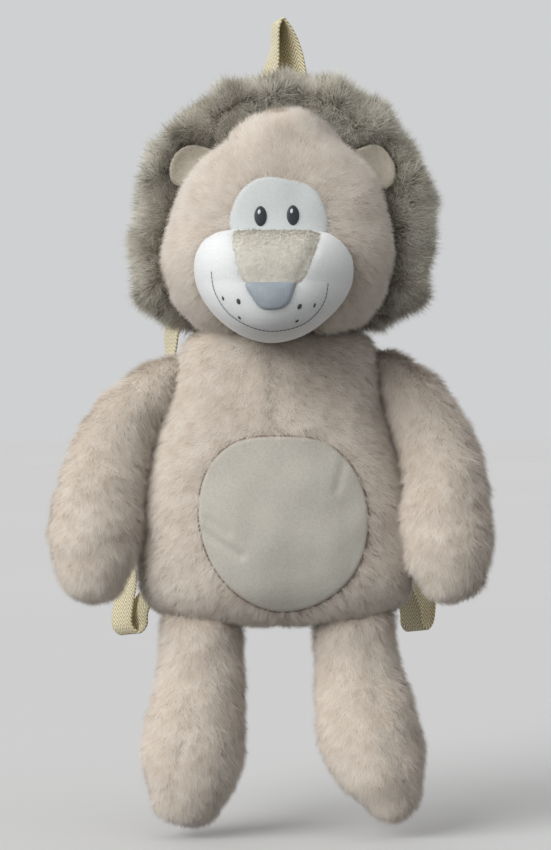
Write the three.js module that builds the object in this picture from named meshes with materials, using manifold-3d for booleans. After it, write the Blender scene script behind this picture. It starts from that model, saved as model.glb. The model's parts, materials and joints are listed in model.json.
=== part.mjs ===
// Plush lion backpack, hanging by its webbing loop. Millimetres, +Z up, the face looks along -Y.
// The origin is the inside top of the hanging loop, where a hook bears.
// The trunk is a hollow bag with a zip in its back. Head, muzzle, arms and legs are stuffed, so solid.
import * as THREE from "three";
import { mergeVertices } from "three/addons/utils/BufferGeometryUtils.js";
import Module from "manifold-3d";

const wasm = await Module();
wasm.setup();

// Driving sizes
const SEWN_GAP = 0.35; // clearance kept between two pieces that are sewn together
const BAG_WALL = 3; // plush with its backing, round the hollow trunk
const PATCH_THICK = 2; // short-pile cloth of the belly patch
const FACE_CLOTH = 2.2; // velour of the eye patch
const BRIDGE_CLOTH = 1.4; // short plush of the nose bridge
const EMBROIDERY = 1; // raised satin stitch of eyes and nose
const WEBBING_WIDE = 25;
const WEBBING_THICK = 1.6;
const PUPIL_WIDE = 6.8;
const PUPIL_HIGH = 11.6;
const ZIP = { long: 84, high: 10, level: -228, coil: 4.4 };
const SLIDER = { fromEnd: 12, long: 8, high: 7.4 };
const PULL = { wide: 5, high: 22, drop: 9 };
const THROUGH = 60; // depth of a cutter that passes right through the back wall

// Fineness of the facets
const BAG_SIDES = 26;
const LINING_SIDES = 18;
const HEAD_SIDES = 24;
const MANE_SIDES = 18;
const LIMB_SIDES = 12;
const CAP_STEPS = 3;
const STEPS_PER_ROW = 2;
const COARSE = 1; // steps per row where nothing shows

// Sections of the trunk by level: half-width, and reach to the front and back of TRUNK_Y.
const TRUNK_Y = -42;
const TRUNK_CAPS = { top: 14, bottom: 10 };
const TRUNK = [
  { z: -201, mid: 0, half: 57, front: 30, back: 37 },
  { z: -230, mid: -1.5, half: 61.5, front: 37, back: 42 },
  { z: -258, mid: -3, half: 70, front: 42, back: 44 },
  { z: -294, mid: -2.5, half: 80.5, front: 47, back: 45 },
  { z: -324, mid: -2.5, half: 82.5, front: 48, back: 44 },
  { z: -345, mid: -1.5, half: 81, front: 46, back: 42 },
  { z: -357, mid: -2.5, half: 71.5, front: 40, back: 37 },
];
const TRUNK_ROUND = { front: 2.4, back: 3.2 };

// Sections of the head by level, about HEAD_Y. The crown leans a little to +X.
const HEAD_Y = -58;
const HEAD_CAPS = { top: 17, bottom: 15 };
const HEAD = [
  { z: -80, mid: 3, half: 33.5, front: 32, back: 34 },
  { z: -100, mid: 1.5, half: 52.5, front: 41, back: 44 },
  { z: -120, mid: 1, half: 61, front: 46, back: 49 },
  { z: -147, mid: -1, half: 67, front: 49, back: 50 },
  { z: -166, mid: -1.5, half: 64, front: 46, back: 46 },
  { z: -181, mid: 0, half: 55, front: 38, back: 39 },
];
const HEAD_ROUND = { front: 2.3, back: 2.1 };

// Limbs: centre of each section, its half-width across and its half-depth.
const ARM_CAPS = { start: 9, end: 13 };
const ARM_LEFT = [
  { x: -60, y: -40, z: -217, wide: 11, deep: 14 },
  { x: -73, y: -42, z: -225.5, wide: 15, deep: 17 },
  { x: -85.5, y: -46, z: -238, wide: 18, deep: 19 },
  { x: -95.5, y: -51, z: -254, wide: 21, deep: 20 },
  { x: -102.5, y: -57, z: -272, wide: 24, deep: 21 },
  { x: -106, y: -63, z: -290, wide: 25.5, deep: 22 },
  { x: -107.8, y: -67, z: -309, wide: 27.7, deep: 23 },
  { x: -109.5, y: -69, z: -324, wide: 24.5, deep: 22 },
  { x: -110.5, y: -69, z: -338, wide: 20, deep: 18 },
];
const ARM_RIGHT = [
  { x: 60, y: -40, z: -215, wide: 12.5, deep: 14 },
  { x: 71, y: -42, z: -222, wide: 16, deep: 17 },
  { x: 80.5, y: -46, z: -233, wide: 18.5, deep: 19 },
  { x: 88.5, y: -51, z: -247.5, wide: 20.5, deep: 20 },
  { x: 94, y: -56, z: -264, wide: 23.5, deep: 21 },
  { x: 98.5, y: -64, z: -284, wide: 24.5, deep: 22 },
  { x: 99, y: -69, z: -308, wide: 26.5, deep: 23 },
  { x: 100, y: -70, z: -326, wide: 25, deep: 22 },
  { x: 102, y: -70, z: -338, wide: 20, deep: 18 },
];
const LEG_CAPS = { start: 8, end: 14 };
const LEG_LEFT = [
  { x: -47, y: -50, z: -352, wide: 23, deep: 20 },
  { x: -46.5, y: -52, z: -388, wide: 24.5, deep: 21 },
  { x: -47.5, y: -55, z: -408, wide: 26, deep: 23 },
  { x: -50, y: -59, z: -423, wide: 28.5, deep: 26 },
  { x: -51, y: -62, z: -440, wide: 30, deep: 27 },
  { x: -52.5, y: -64, z: -456, wide: 27, deep: 25 },
  { x: -55.5, y: -65, z: -470, wide: 21, deep: 20 },
];
const LEG_RIGHT = [
  { x: 44, y: -50, z: -352, wide: 23.5, deep: 20 },
  { x: 46, y: -52, z: -388, wide: 24, deep: 21 },
  { x: 49, y: -55, z: -408, wide: 27, deep: 23 },
  { x: 52.5, y: -59, z: -427, wide: 30, deep: 26 },
  { x: 57, y: -62, z: -441, wide: 29, deep: 27 },
  { x: 62.5, y: -64, z: -455, wide: 24, deep: 25 },
  { x: 67.5, y: -65, z: -467, wide: 17, deep: 19 },
];

// Outlines of the face and belly cloths, seen from the front.
const MUZZLE_OUTLINE = [
  { x: -50.5, z: -158 },
  { x: -47, z: -172 },
  { x: -38, z: -185 },
  { x: -24, z: -196 },
  { x: -6, z: -201.5 },
  { x: 12, z: -198 },
  { x: 29, z: -187 },
  { x: 40.5, z: -173 },
  { x: 44.5, z: -160 },
  { x: 42, z: -148 },
  { x: 31, z: -137 },
  { x: -3, z: -134 },
  { x: -38, z: -136.5 },
  { x: -48, z: -146 },
];
const MUZZLE_TIP = { x: -4, z: -168 };
const MUZZLE_RIM = -96; // where the dome starts to round over
const MUZZLE_RISE = 41;
const MUZZLE_ROOT = -58;
const EYE_PATCH_OUTLINE = [
  { x: -29, z: -138 },
  { x: -27.5, z: -126 },
  { x: -23, z: -115 },
  { x: -15.5, z: -108 },
  { x: -6.5, z: -105.5 },
  { x: 3.5, z: -107.5 },
  { x: 13, z: -108.5 },
  { x: 22, z: -114 },
  { x: 27, z: -124 },
  { x: 28.5, z: -137 },
  { x: 0, z: -150 },
];
const BRIDGE_OUTLINE = [
  { x: -26, z: -138 },
  { x: -1, z: -137 },
  { x: 24, z: -137 },
  { x: 18.5, z: -151 },
  { x: 12, z: -167.5 },
  { x: -19.5, z: -167.5 },
  { x: -23.5, z: -153 },
];
const NOSE_OUTLINE = [
  { x: -19.5, z: -168.3 },
  { x: -4, z: -168.3 },
  { x: 11.5, z: -168.3 },
  { x: 8.4, z: -175.6 },
  { x: 2.5, z: -182.5 },
  { x: -4, z: -184.8 },
  { x: -10.6, z: -183 },
  { x: -16.4, z: -176.6 },
];
const PUPILS = [
  { name: "eye_left", x: -10.7, z: -128.5 },
  { name: "eye_right", x: 8, z: -128 },
];
const BELLY_OUTLINE = [
  { x: 2, z: -255.5 },
  { x: 27, z: -259 },
  { x: 45.5, z: -278 },
  { x: 52, z: -306 },
  { x: 44, z: -335 },
  { x: 23, z: -353 },
  { x: -2, z: -357.5 },
  { x: -24, z: -347.5 },
  { x: -39.8, z: -328.5 },
  { x: -47, z: -301 },
  { x: -41, z: -273 },
  { x: -25, z: -258.5 },
];

// Ears stand in the seam between face and mane. "lean" turns each one outwards.
const EAR = { wide: 13, thick: 4.2, high: 13.5, cup: 2.4, y: -50, z: -94 };
const EARS = [
  { name: "ear_left", x: -51.5, lean: 32 },
  { name: "ear_right", x: 56.5, lean: -32 },
];

// Mane: a thick band round the head, from one cheek over the crown to the other, with rows of blunt
// tufts that are longer by "corners" between crown and ears and by "right" at the right cheek.
const MANE = { x: 2, z: -132, y: -34, lowest: -189, corners: 8, right: 5 };
const MANE_BANDS = [
  { deep: 34, thick: 8 },
  { deep: 26, thick: 15 },
];
const MANE_END = 126; // degrees from the crown down to each cheek
const LOCK = { base: 12.5, tip: 5.5, long: 13, sides: 5, sunk: 3, curl: 4 };
const LOCK_ROWS = [
  { y: -45, lift: 9, tilt: -0.4, count: 11, long: 1 },
  { y: -38, lift: 13, tilt: -0.1, count: 13, long: 1.05 },
  { y: -29, lift: 13, tilt: 0.15, count: 12, long: 1 },
];

// Webbing routes. "turn" is the angle of the webbing's width from the Y axis, in degrees about Z,
// and "dip" is how far its rear edge drops, as a share of the width.
const LOOP_ROUTE = [
  { x: -15, y: -18, z: -92, turn: -22, dip: 0 },
  { x: -13, y: -4, z: -66, turn: -24, dip: 0 },
  { x: -5.5, y: -1, z: -30, turn: -24, dip: 0 },
  { x: -3, y: 0, z: -8, turn: -20, dip: 0 },
  { x: -2.2, y: 0, z: -2, turn: -18, dip: 0 },
  { x: -0.4, y: 0, z: 0.8, turn: -18, dip: 0 },
  { x: 1.4, y: 0, z: -2, turn: -18, dip: 0 },
  { x: 2.4, y: 0, z: -8, turn: -22, dip: 0 },
  { x: 7.5, y: -1, z: -30, turn: -32, dip: 0 },
  { x: 14, y: -4, z: -66, turn: -36, dip: 0 },
  { x: 16, y: -18, z: -92, turn: -30, dip: 0 },
];
const STRAP_LEFT = [
  { x: -34, y: -16, z: -216, turn: -76, dip: 0 },
  { x: -39, y: 0, z: -199, turn: -66, dip: 0 },
  { x: -50, y: 12, z: -180, turn: -46, dip: 0 },
  { x: -62, y: 20, z: -177, turn: -30, dip: 0 },
  { x: -67, y: 26, z: -190, turn: -23, dip: 0 },
  { x: -69, y: 32, z: -207, turn: -16, dip: 0 },
  { x: -78, y: 42, z: -244, turn: -4, dip: 0 },
  { x: -87, y: 43, z: -288, turn: -8, dip: 0 },
  { x: -95, y: 26, z: -322, turn: -20, dip: 0 },
  { x: -98.5, y: 6, z: -346, turn: -24, dip: 0 },
  { x: -98.5, y: -3, z: -362, turn: -24, dip: -0.08 },
  { x: -96.5, y: -7, z: -372.5, turn: -24, dip: -0.12 },
  { x: -91.5, y: -9, z: -376.5, turn: -24, dip: -0.12 },
  { x: -86.5, y: -11, z: -372, turn: -24, dip: -0.12 },
  { x: -84, y: -13, z: -361, turn: -24, dip: -0.06 },
  { x: -69, y: -20, z: -338, turn: -24, dip: 0 },
];
const STRAP_RIGHT = [
  { x: 34, y: -16, z: -216, turn: 76, dip: 0 },
  { x: 37, y: 0, z: -199, turn: 66, dip: 0 },
  { x: 43, y: 12, z: -184, turn: 40, dip: 0 },
  { x: 49, y: 21, z: -187, turn: 16, dip: 0 },
  { x: 54, y: 30, z: -206, turn: 0, dip: 0 },
  { x: 73, y: 42, z: -244, turn: -8, dip: 0 },
  { x: 83, y: 43, z: -288, turn: -14, dip: 0 },
  { x: 89, y: 27, z: -322, turn: -24, dip: 0 },
  { x: 90, y: 8, z: -345, turn: -28, dip: 0 },
  { x: 90, y: -1, z: -360, turn: -28, dip: -0.08 },
  { x: 88.5, y: -5, z: -370.5, turn: -28, dip: -0.12 },
  { x: 85, y: -8, z: -374.5, turn: -28, dip: -0.12 },
  { x: 81.5, y: -10, z: -370.5, turn: -28, dip: -0.12 },
  { x: 80, y: -12, z: -360, turn: -28, dip: -0.06 },
  { x: 70, y: -19, z: -337, turn: -28, dip: 0 },
];
const RIBBON_STEPS = 2; // facets between two rows of a route

const CLOTH = {
  fur: { color: 0xc9bbac, roughness: 0.95 },
  mane: { color: 0x8c8272, roughness: 0.95 },
  velour: { color: 0xe6e8e6, roughness: 0.9 },
  ear: { color: 0xc6b8a6, roughness: 0.9 },
  bridge: { color: 0xd3c7b6, roughness: 0.9 },
  belly: { color: 0xc5bfb0, roughness: 0.9 },
  nose: { color: 0xa3abb8, roughness: 0.6 },
  pupil: { color: 0x30363c, roughness: 0.5 },
  webbing: { color: 0xd8c88c, roughness: 0.75 },
  zip: { color: 0xcfc2a4, roughness: 0.6 },
};

// Solids and booleans

function solidOf(geometry) {
  const bare = new THREE.BufferGeometry();
  bare.setAttribute("position", geometry.getAttribute("position"));
  if (geometry.index) bare.setIndex(geometry.index);
  const merged = mergeVertices(bare, 1e-4);
  const triVerts = new Uint32Array(merged.index.array);
  const vertProperties = new Float32Array(merged.attributes.position.array);
  const made = new wasm.Manifold(new wasm.Mesh({ numProp: 3, vertProperties, triVerts }));
  if (made.volume() > 0) return made;
  for (let i = 0; i < triVerts.length; i += 3) {
    [triVerts[i + 1], triVerts[i + 2]] = [triVerts[i + 2], triVerts[i + 1]];
  }
  return new wasm.Manifold(new wasm.Mesh({ numProp: 3, vertProperties, triVerts }));
}

function geometryOf(solid) {
  const mesh = solid.getMesh();
  const geometry = new THREE.BufferGeometry();
  geometry.setAttribute("position", new THREE.BufferAttribute(mesh.vertProperties, 3));
  geometry.setIndex(new THREE.BufferAttribute(mesh.triVerts, 1));
  geometry.computeVertexNormals();
  return geometry;
}

// The largest body of a solid: a cut may leave crumbs beside it.
function mainBody(solid) {
  return solid.decompose().reduce((a, b) => (b.volume() > a.volume() ? b : a));
}

// Smooth tables

function catmullRom(a, b, c, d, f) {
  const slopeIn = (c - a) / 2;
  const slopeOut = (d - b) / 2;
  const cubic = 2 * b - 2 * c + slopeIn + slopeOut;
  const square = -3 * b + 3 * c - 2 * slopeIn - slopeOut;
  return cubic * f ** 3 + square * f ** 2 + slopeIn * f + b;
}

// The row at place t of a table, with every named column run smoothly between its rows.
function rowAt(rows, t) {
  const i = Math.min(Math.floor(t), rows.length - 2);
  const near = [i - 1, i, i + 1, i + 2].map((k) => rows[THREE.MathUtils.clamp(k, 0, rows.length - 1)]);
  const blend = (key) => catmullRom(...near.map((row) => row[key]), t - i);
  return Object.fromEntries(Object.keys(rows[0]).map((key) => [key, blend(key)]));
}

function refined(rows, steps) {
  const count = (rows.length - 1) * steps;
  return Array.from({ length: count + 1 }, (_, k) => rowAt(rows, k / steps));
}

// Lofts

// A closed skin over rings of equal length, with a point at each end.
function skin(rings, first, last) {
  const sides = rings[0].length;
  const points = [first, ...rings.flat(), last];
  const end = points.length - 1;
  const at = (ring, i) => 1 + ring * sides + (i % sides);
  const faces = [];
  for (let i = 0; i < sides; i++) {
    faces.push(0, at(0, i + 1), at(0, i));
    faces.push(end, at(rings.length - 1, i), at(rings.length - 1, i + 1));
    for (let r = 0; r + 1 < rings.length; r++) {
      faces.push(at(r, i), at(r, i + 1), at(r + 1, i + 1));
      faces.push(at(r, i), at(r + 1, i + 1), at(r + 1, i));
    }
  }
  const geometry = new THREE.BufferGeometry().setFromPoints(points);
  geometry.setIndex(faces);
  return solidOf(geometry);
}

const angles = (sides) => Array.from({ length: sides }, (_, i) => (i / sides) * 2 * Math.PI);
const power = (v, e) => Math.sign(v) * Math.abs(v) ** e;

// A form cut by level planes: each section is a rounded oblong, flatter at the back, and both ends are domed.
function levelLoft(table, middleY, round, caps, sides, grow, stepsPerRow = STEPS_PER_ROW) {
  const ring = (row, scale, z) =>
    angles(sides).map((a) => {
      const front = Math.sin(a) < 0;
      const e = 2 / (front ? round.front : round.back);
      const reach = (front ? row.front : row.back) + grow;
      const x = row.mid + (row.half + grow) * scale * power(Math.cos(a), e);
      return new THREE.Vector3(x, middleY + reach * scale * power(Math.sin(a), e), z);
    });
  const rows = refined(table, stepsPerRow);
  const [top, bottom] = [rows[0], rows[rows.length - 1]];
  const capRing = (row, cap, k) => {
    const a = ((k / CAP_STEPS) * Math.PI) / 2;
    return ring(row, Math.cos(a), row.z + cap * Math.sin(a));
  };
  const steps = Array.from({ length: CAP_STEPS - 1 }, (_, k) => k + 1);
  const rings = [
    ...steps.map((k) => capRing(top, caps.top + grow, k)).reverse(),
    ...rows.map((row) => ring(row, 1, row.z)),
    ...steps.map((k) => capRing(bottom, -(caps.bottom + grow), k)),
  ];
  const tip = (row, cap) => new THREE.Vector3(row.mid, middleY, row.z + cap);
  return skin(rings, tip(top, caps.top + grow), tip(bottom, -(caps.bottom + grow)));
}

// A stuffed tube along the centres of its sections, domed at both ends.
function limb(table, caps, grow = 0) {
  const rows = refined(table, STEPS_PER_ROW);
  const centres = rows.map((row) => new THREE.Vector3(row.x, row.y, row.z));
  const along = centres.map((_, i) => {
    const before = centres[Math.max(i - 1, 0)];
    return centres[Math.min(i + 1, centres.length - 1)].clone().sub(before).normalize();
  });
  const ring = (i, scale, shift) => {
    const depth = new THREE.Vector3(0, 1, 0).projectOnPlane(along[i]).normalize();
    const width = along[i].clone().cross(depth);
    return angles(LIMB_SIDES).map((a) =>
      centres[i]
        .clone()
        .addScaledVector(along[i], shift)
        .addScaledVector(width, (rows[i].wide + grow) * scale * Math.cos(a))
        .addScaledVector(depth, (rows[i].deep + grow) * scale * Math.sin(a)),
    );
  };
  const last = rows.length - 1;
  const capRing = (i, cap, k) => {
    const a = ((k / CAP_STEPS) * Math.PI) / 2;
    return ring(i, Math.cos(a), cap * Math.sin(a));
  };
  const steps = Array.from({ length: CAP_STEPS - 1 }, (_, k) => k + 1);
  const rings = [
    ...steps.map((k) => capRing(0, -(caps.start + grow), k)).reverse(),
    ...rows.map((_, i) => ring(i, 1, 0)),
    ...steps.map((k) => capRing(last, caps.end + grow, k)),
  ];
  const tip = (i, cap) => centres[i].clone().addScaledVector(along[i], cap);
  return skin(rings, tip(0, -(caps.start + grow)), tip(last, caps.end + grow));
}

// A strip of webbing along a route, its width turned as the route says.
function ribbon(route, grow = 0) {
  const rows = refined(route, RIBBON_STEPS);
  const centres = rows.map((row) => new THREE.Vector3(row.x, row.y, row.z));
  const rings = rows.map((row, i) => {
    const before = centres[Math.max(i - 1, 0)];
    const along = centres[Math.min(i + 1, rows.length - 1)].clone().sub(before).normalize();
    const turn = THREE.MathUtils.degToRad(row.turn);
    const rear = new THREE.Vector3(Math.sin(turn), Math.cos(turn), row.dip);
    const width = rear.normalize();
    const thick = along.clone().cross(width).normalize();
    const corner = (w, t) =>
      centres[i]
        .clone()
        .addScaledVector(width, w * (WEBBING_WIDE / 2 + grow))
        .addScaledVector(thick, t * (WEBBING_THICK / 2 + grow));
    return [corner(-1, -1), corner(1, -1), corner(1, 1), corner(-1, 1)];
  });
  return skin(rings, centres[0], centres[centres.length - 1]);
}

// Outlines

// Evenly spaced points of a smooth closed outline, moved outwards from its middle by "grow".
function outlinePoints(rows, count, grow = 0) {
  const knots = rows.map((row) => new THREE.Vector3(row.x, 0, row.z));
  const middle = knots.reduce((sum, p) => sum.add(p), new THREE.Vector3()).divideScalar(knots.length);
  const points = new THREE.CatmullRomCurve3(knots, true).getSpacedPoints(count).slice(0, count);
  return points.map((p) => p.addScaledVector(p.clone().sub(middle).normalize(), grow));
}

// A prism over an outline in the XZ plane, from nearY forward to farY.
function prism(points, nearY, farY) {
  const shape = new THREE.Shape(points.map((p) => new THREE.Vector2(p.x, p.z)));
  const geometry = new THREE.ExtrudeGeometry(shape, { depth: nearY - farY, bevelEnabled: false });
  geometry.rotateX(Math.PI / 2).translate(0, nearY, 0);
  return solidOf(geometry);
}

// Cloth laid on a base form: the part of the layer between two sizes of the base that the prism takes in.
function layer(cutter, base, lift, thick) {
  return mainBody(cutter.intersect(base(lift + thick)).subtract(base(lift)));
}

// Pieces

const trunkForm = (grow) => levelLoft(TRUNK, TRUNK_Y, TRUNK_ROUND, TRUNK_CAPS, BAG_SIDES, grow);
const headForm = (grow) => levelLoft(HEAD, HEAD_Y, HEAD_ROUND, HEAD_CAPS, HEAD_SIDES, grow);

function box(wide, deep, high, x, y, z) {
  return solidOf(new THREE.BoxGeometry(wide, deep, high).translate(x, y, z));
}

function trunk() {
  const hollow = levelLoft(TRUNK, TRUNK_Y, TRUNK_ROUND, TRUNK_CAPS, LINING_SIDES, -BAG_WALL, COARSE);
  const slit = box(ZIP.long, THROUGH, ZIP.high, 0, 0, ZIP.level);
  return trunkForm(0).subtract(hollow).subtract(slit);
}

// Tape, coil and slider, closed across the slit. Each is a slice of the wall between two depths.
function zip() {
  const clear = 2 * SEWN_GAP;
  const sliderX = ZIP.long / 2 - SLIDER.fromEnd;
  const slice = (cutter, low, high) => cutter.intersect(trunkForm(high)).subtract(trunkForm(low));
  const tape = slice(box(ZIP.long - clear, THROUGH, ZIP.high - clear, 0, 0, ZIP.level), -1.6, -0.2);
  const coil = slice(box(ZIP.long - clear, THROUGH, ZIP.coil, 0, 0, ZIP.level), -1, 1.2);
  const slider = slice(box(SLIDER.long, THROUGH, SLIDER.high, sliderX, 0, ZIP.level), -1, 2.6);
  const pull = slice(box(PULL.wide, THROUGH, PULL.high, sliderX, 0, ZIP.level - PULL.drop), 2, 3.4);
  return tape.add(coil).add(slider).add(pull);
}

function muzzleForm(grow) {
  const rim = outlinePoints(MUZZLE_OUTLINE, 28, grow);
  const tip = new THREE.Vector3(MUZZLE_TIP.x, 0, MUZZLE_TIP.z);
  const ring = (scale, y) => rim.map((p) => p.clone().sub(tip).multiplyScalar(scale).add(tip).setY(y));
  const steps = Array.from({ length: 7 }, (_, k) => ((k / 7) * Math.PI) / 2);
  const rings = [
    ring(0.97, MUZZLE_ROOT),
    ...steps.map((a) => ring(Math.cos(a) ** 0.85, MUZZLE_RIM - (MUZZLE_RISE + grow) * Math.sin(a))),
  ];
  const back = tip.clone().setY(MUZZLE_ROOT);
  return skin(rings, back, tip.clone().setY(MUZZLE_RIM - MUZZLE_RISE - grow));
}

function ear(row, grow = 0) {
  const outer = new THREE.SphereGeometry(1, 13, 7).scale(EAR.wide + grow, EAR.thick + grow, EAR.high + grow);
  const cup = new THREE.SphereGeometry(1, 11, 6).scale(EAR.wide * 0.74, EAR.cup, EAR.high * 0.76);
  const lobe = solidOf(outer).subtract(solidOf(cup.translate(0, -EAR.thick, 0)));
  const turned = geometryOf(lobe).rotateY(THREE.MathUtils.degToRad(-row.lean));
  return solidOf(turned.translate(row.x, EAR.y, EAR.z));
}

// A repeatable spread from -1 to 1, so that the locks differ.
const spread = (seed) => 2 * THREE.MathUtils.seededRandom(seed) - 1;

function mane() {
  const head = new THREE.Mesh(geometryOf(headForm(0)));
  const high = 300;
  const band = (row) => {
    const ring = box(high, row.deep, high, 0, MANE.y, MANE.lowest + high / 2);
    return ring.intersect(levelLoft(HEAD, HEAD_Y, HEAD_ROUND, HEAD_CAPS, MANE_SIDES, row.thick, COARSE));
  };
  let ruff = MANE_BANDS.map(band).reduce((a, b) => a.add(b));
  LOCK_ROWS.forEach((row, r) => {
    for (let k = 0; k < row.count; k++) {
      const a = THREE.MathUtils.degToRad(((k + 0.5) / row.count) * 2 * MANE_END - MANE_END);
      const seed = r * 100 + k + 1;
      const out = new THREE.Vector3(Math.sin(a), 0, Math.cos(a));
      const from = new THREE.Vector3(MANE.x, row.y, MANE.z).addScaledVector(out, high);
      const root = new THREE.Raycaster(from, out.clone().negate()).intersectObject(head)[0].point;
      root.addScaledVector(out, row.lift);
      out.y = row.tilt + 0.1 * spread(seed + 200);
      const fuller = MANE.corners * Math.max(0, Math.sin(2 * Math.abs(a))) + MANE.right * Math.max(0, Math.sin(a));
      const long = LOCK.long * row.long * (1 + 0.15 * spread(seed)) + fuller;
      ruff = ruff.add(lock(root, out.normalize(), long, seed));
    }
  });
  return ruff;
}

// A blunt tuft that stands on its root and curls to one side.
function lock(root, out, long, seed) {
  const tuft = new THREE.CylinderGeometry(LOCK.tip, LOCK.base, long + LOCK.sunk, LOCK.sides);
  tuft.translate(0, (long - LOCK.sunk) / 2, 0);
  const lean = (LOCK.curl * spread(seed + 400)) / long;
  tuft.applyMatrix4(new THREE.Matrix4().makeShear(lean, 0, 0, 0, 0, 0));
  tuft.applyQuaternion(new THREE.Quaternion().setFromUnitVectors(new THREE.Vector3(0, 1, 0), out));
  return solidOf(tuft.translate(root.x, root.y, root.z));
}

// Assembly: each piece is cut back from the one that it is sewn to.

const trunkClear = trunkForm(SEWN_GAP);
const headClear = headForm(SEWN_GAP);
const faceFront = -170;
const pieces = new Map();

pieces.set("trunk", [trunk(), CLOTH.fur]);
pieces.set("zip_closure", [zip(), CLOTH.zip]);
const bellyCutter = prism(outlinePoints(BELLY_OUTLINE, 40), TRUNK_Y, faceFront);
pieces.set("belly_patch", [layer(bellyCutter, trunkForm, SEWN_GAP, PATCH_THICK), CLOTH.belly]);

pieces.set("head", [mainBody(headForm(0).subtract(trunkClear)), CLOTH.fur]);
const muzzle = mainBody(muzzleForm(0).subtract(headClear).subtract(trunkClear));
pieces.set("muzzle", [muzzle, CLOTH.velour]);
const eyePatchCutter = prism(outlinePoints(EYE_PATCH_OUTLINE, 36), HEAD_Y, faceFront);
const eyePatch = layer(eyePatchCutter, headForm, SEWN_GAP, FACE_CLOTH).subtract(muzzleForm(SEWN_GAP));
pieces.set("eye_patch", [mainBody(eyePatch), CLOTH.velour]);
const bridgeCutter = prism(outlinePoints(BRIDGE_OUTLINE, 30), MUZZLE_RIM + 6, faceFront);
const bridge = layer(bridgeCutter, muzzleForm, SEWN_GAP, BRIDGE_CLOTH);
const eyePatchClear = headForm(2 * SEWN_GAP + FACE_CLOTH);
pieces.set("nose_bridge", [mainBody(bridge.subtract(eyePatchClear)), CLOTH.bridge]);
const noseCutter = prism(outlinePoints(NOSE_OUTLINE, 24), MUZZLE_RIM, faceFront);
const bridgeClear = prism(outlinePoints(BRIDGE_OUTLINE, 30, SEWN_GAP), MUZZLE_RIM + 6, faceFront);
const nose = layer(noseCutter, muzzleForm, SEWN_GAP, BRIDGE_CLOTH + EMBROIDERY);
pieces.set("nose", [mainBody(nose.subtract(bridgeClear)), CLOTH.nose]);
for (const pupil of PUPILS) {
  const oval = angles(20).map((a) => {
    const x = pupil.x + (PUPIL_WIDE / 2) * Math.cos(a);
    return new THREE.Vector3(x, 0, pupil.z + (PUPIL_HIGH / 2) * Math.sin(a));
  });
  const lift = 2 * SEWN_GAP + FACE_CLOTH;
  pieces.set(pupil.name, [layer(prism(oval, HEAD_Y, faceFront), headForm, lift, EMBROIDERY), CLOTH.pupil]);
}

let ruff = mane().subtract(headClear).subtract(trunkClear).subtract(ribbon(LOOP_ROUTE, SEWN_GAP));
for (const row of EARS) {
  pieces.set(row.name, [mainBody(ear(row).subtract(headClear)), CLOTH.ear]);
  ruff = ruff.subtract(ear(row, SEWN_GAP));
}
pieces.set("mane", [mainBody(ruff), CLOTH.mane]);

const LIMBS = {
  arm_left: [ARM_LEFT, ARM_CAPS],
  arm_right: [ARM_RIGHT, ARM_CAPS],
  leg_left: [LEG_LEFT, LEG_CAPS],
  leg_right: [LEG_RIGHT, LEG_CAPS],
};
for (const [name, [table, caps]] of Object.entries(LIMBS)) {
  pieces.set(name, [mainBody(limb(table, caps).subtract(trunkClear)), CLOTH.fur]);
}

pieces.set("hang_loop", [mainBody(ribbon(LOOP_ROUTE).subtract(headClear)), CLOTH.webbing]);
pieces.set("strap_left", [mainBody(ribbon(STRAP_LEFT).subtract(trunkClear)), CLOTH.webbing]);
pieces.set("strap_right", [mainBody(ribbon(STRAP_RIGHT).subtract(trunkClear)), CLOTH.webbing]);

const backpack = new THREE.Group();
for (const [name, [solid, cloth]] of pieces) {
  const mesh = new THREE.Mesh(geometryOf(solid), new THREE.MeshStandardMaterial({ ...cloth, metalness: 0 }));
  mesh.name = name;
  backpack.add(mesh);
}

export default backpack;
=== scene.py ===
# Plush lion backpack: pile, velour, embroidery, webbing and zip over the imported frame.
import json
import math
import random

import bmesh
import bpy
import numpy as np
from bpy.props import FloatProperty, FloatVectorProperty, IntProperty, PointerProperty
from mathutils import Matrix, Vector, noise
from mathutils.bvhtree import BVHTree
from mathutils.geometry import convex_hull_2d

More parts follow.
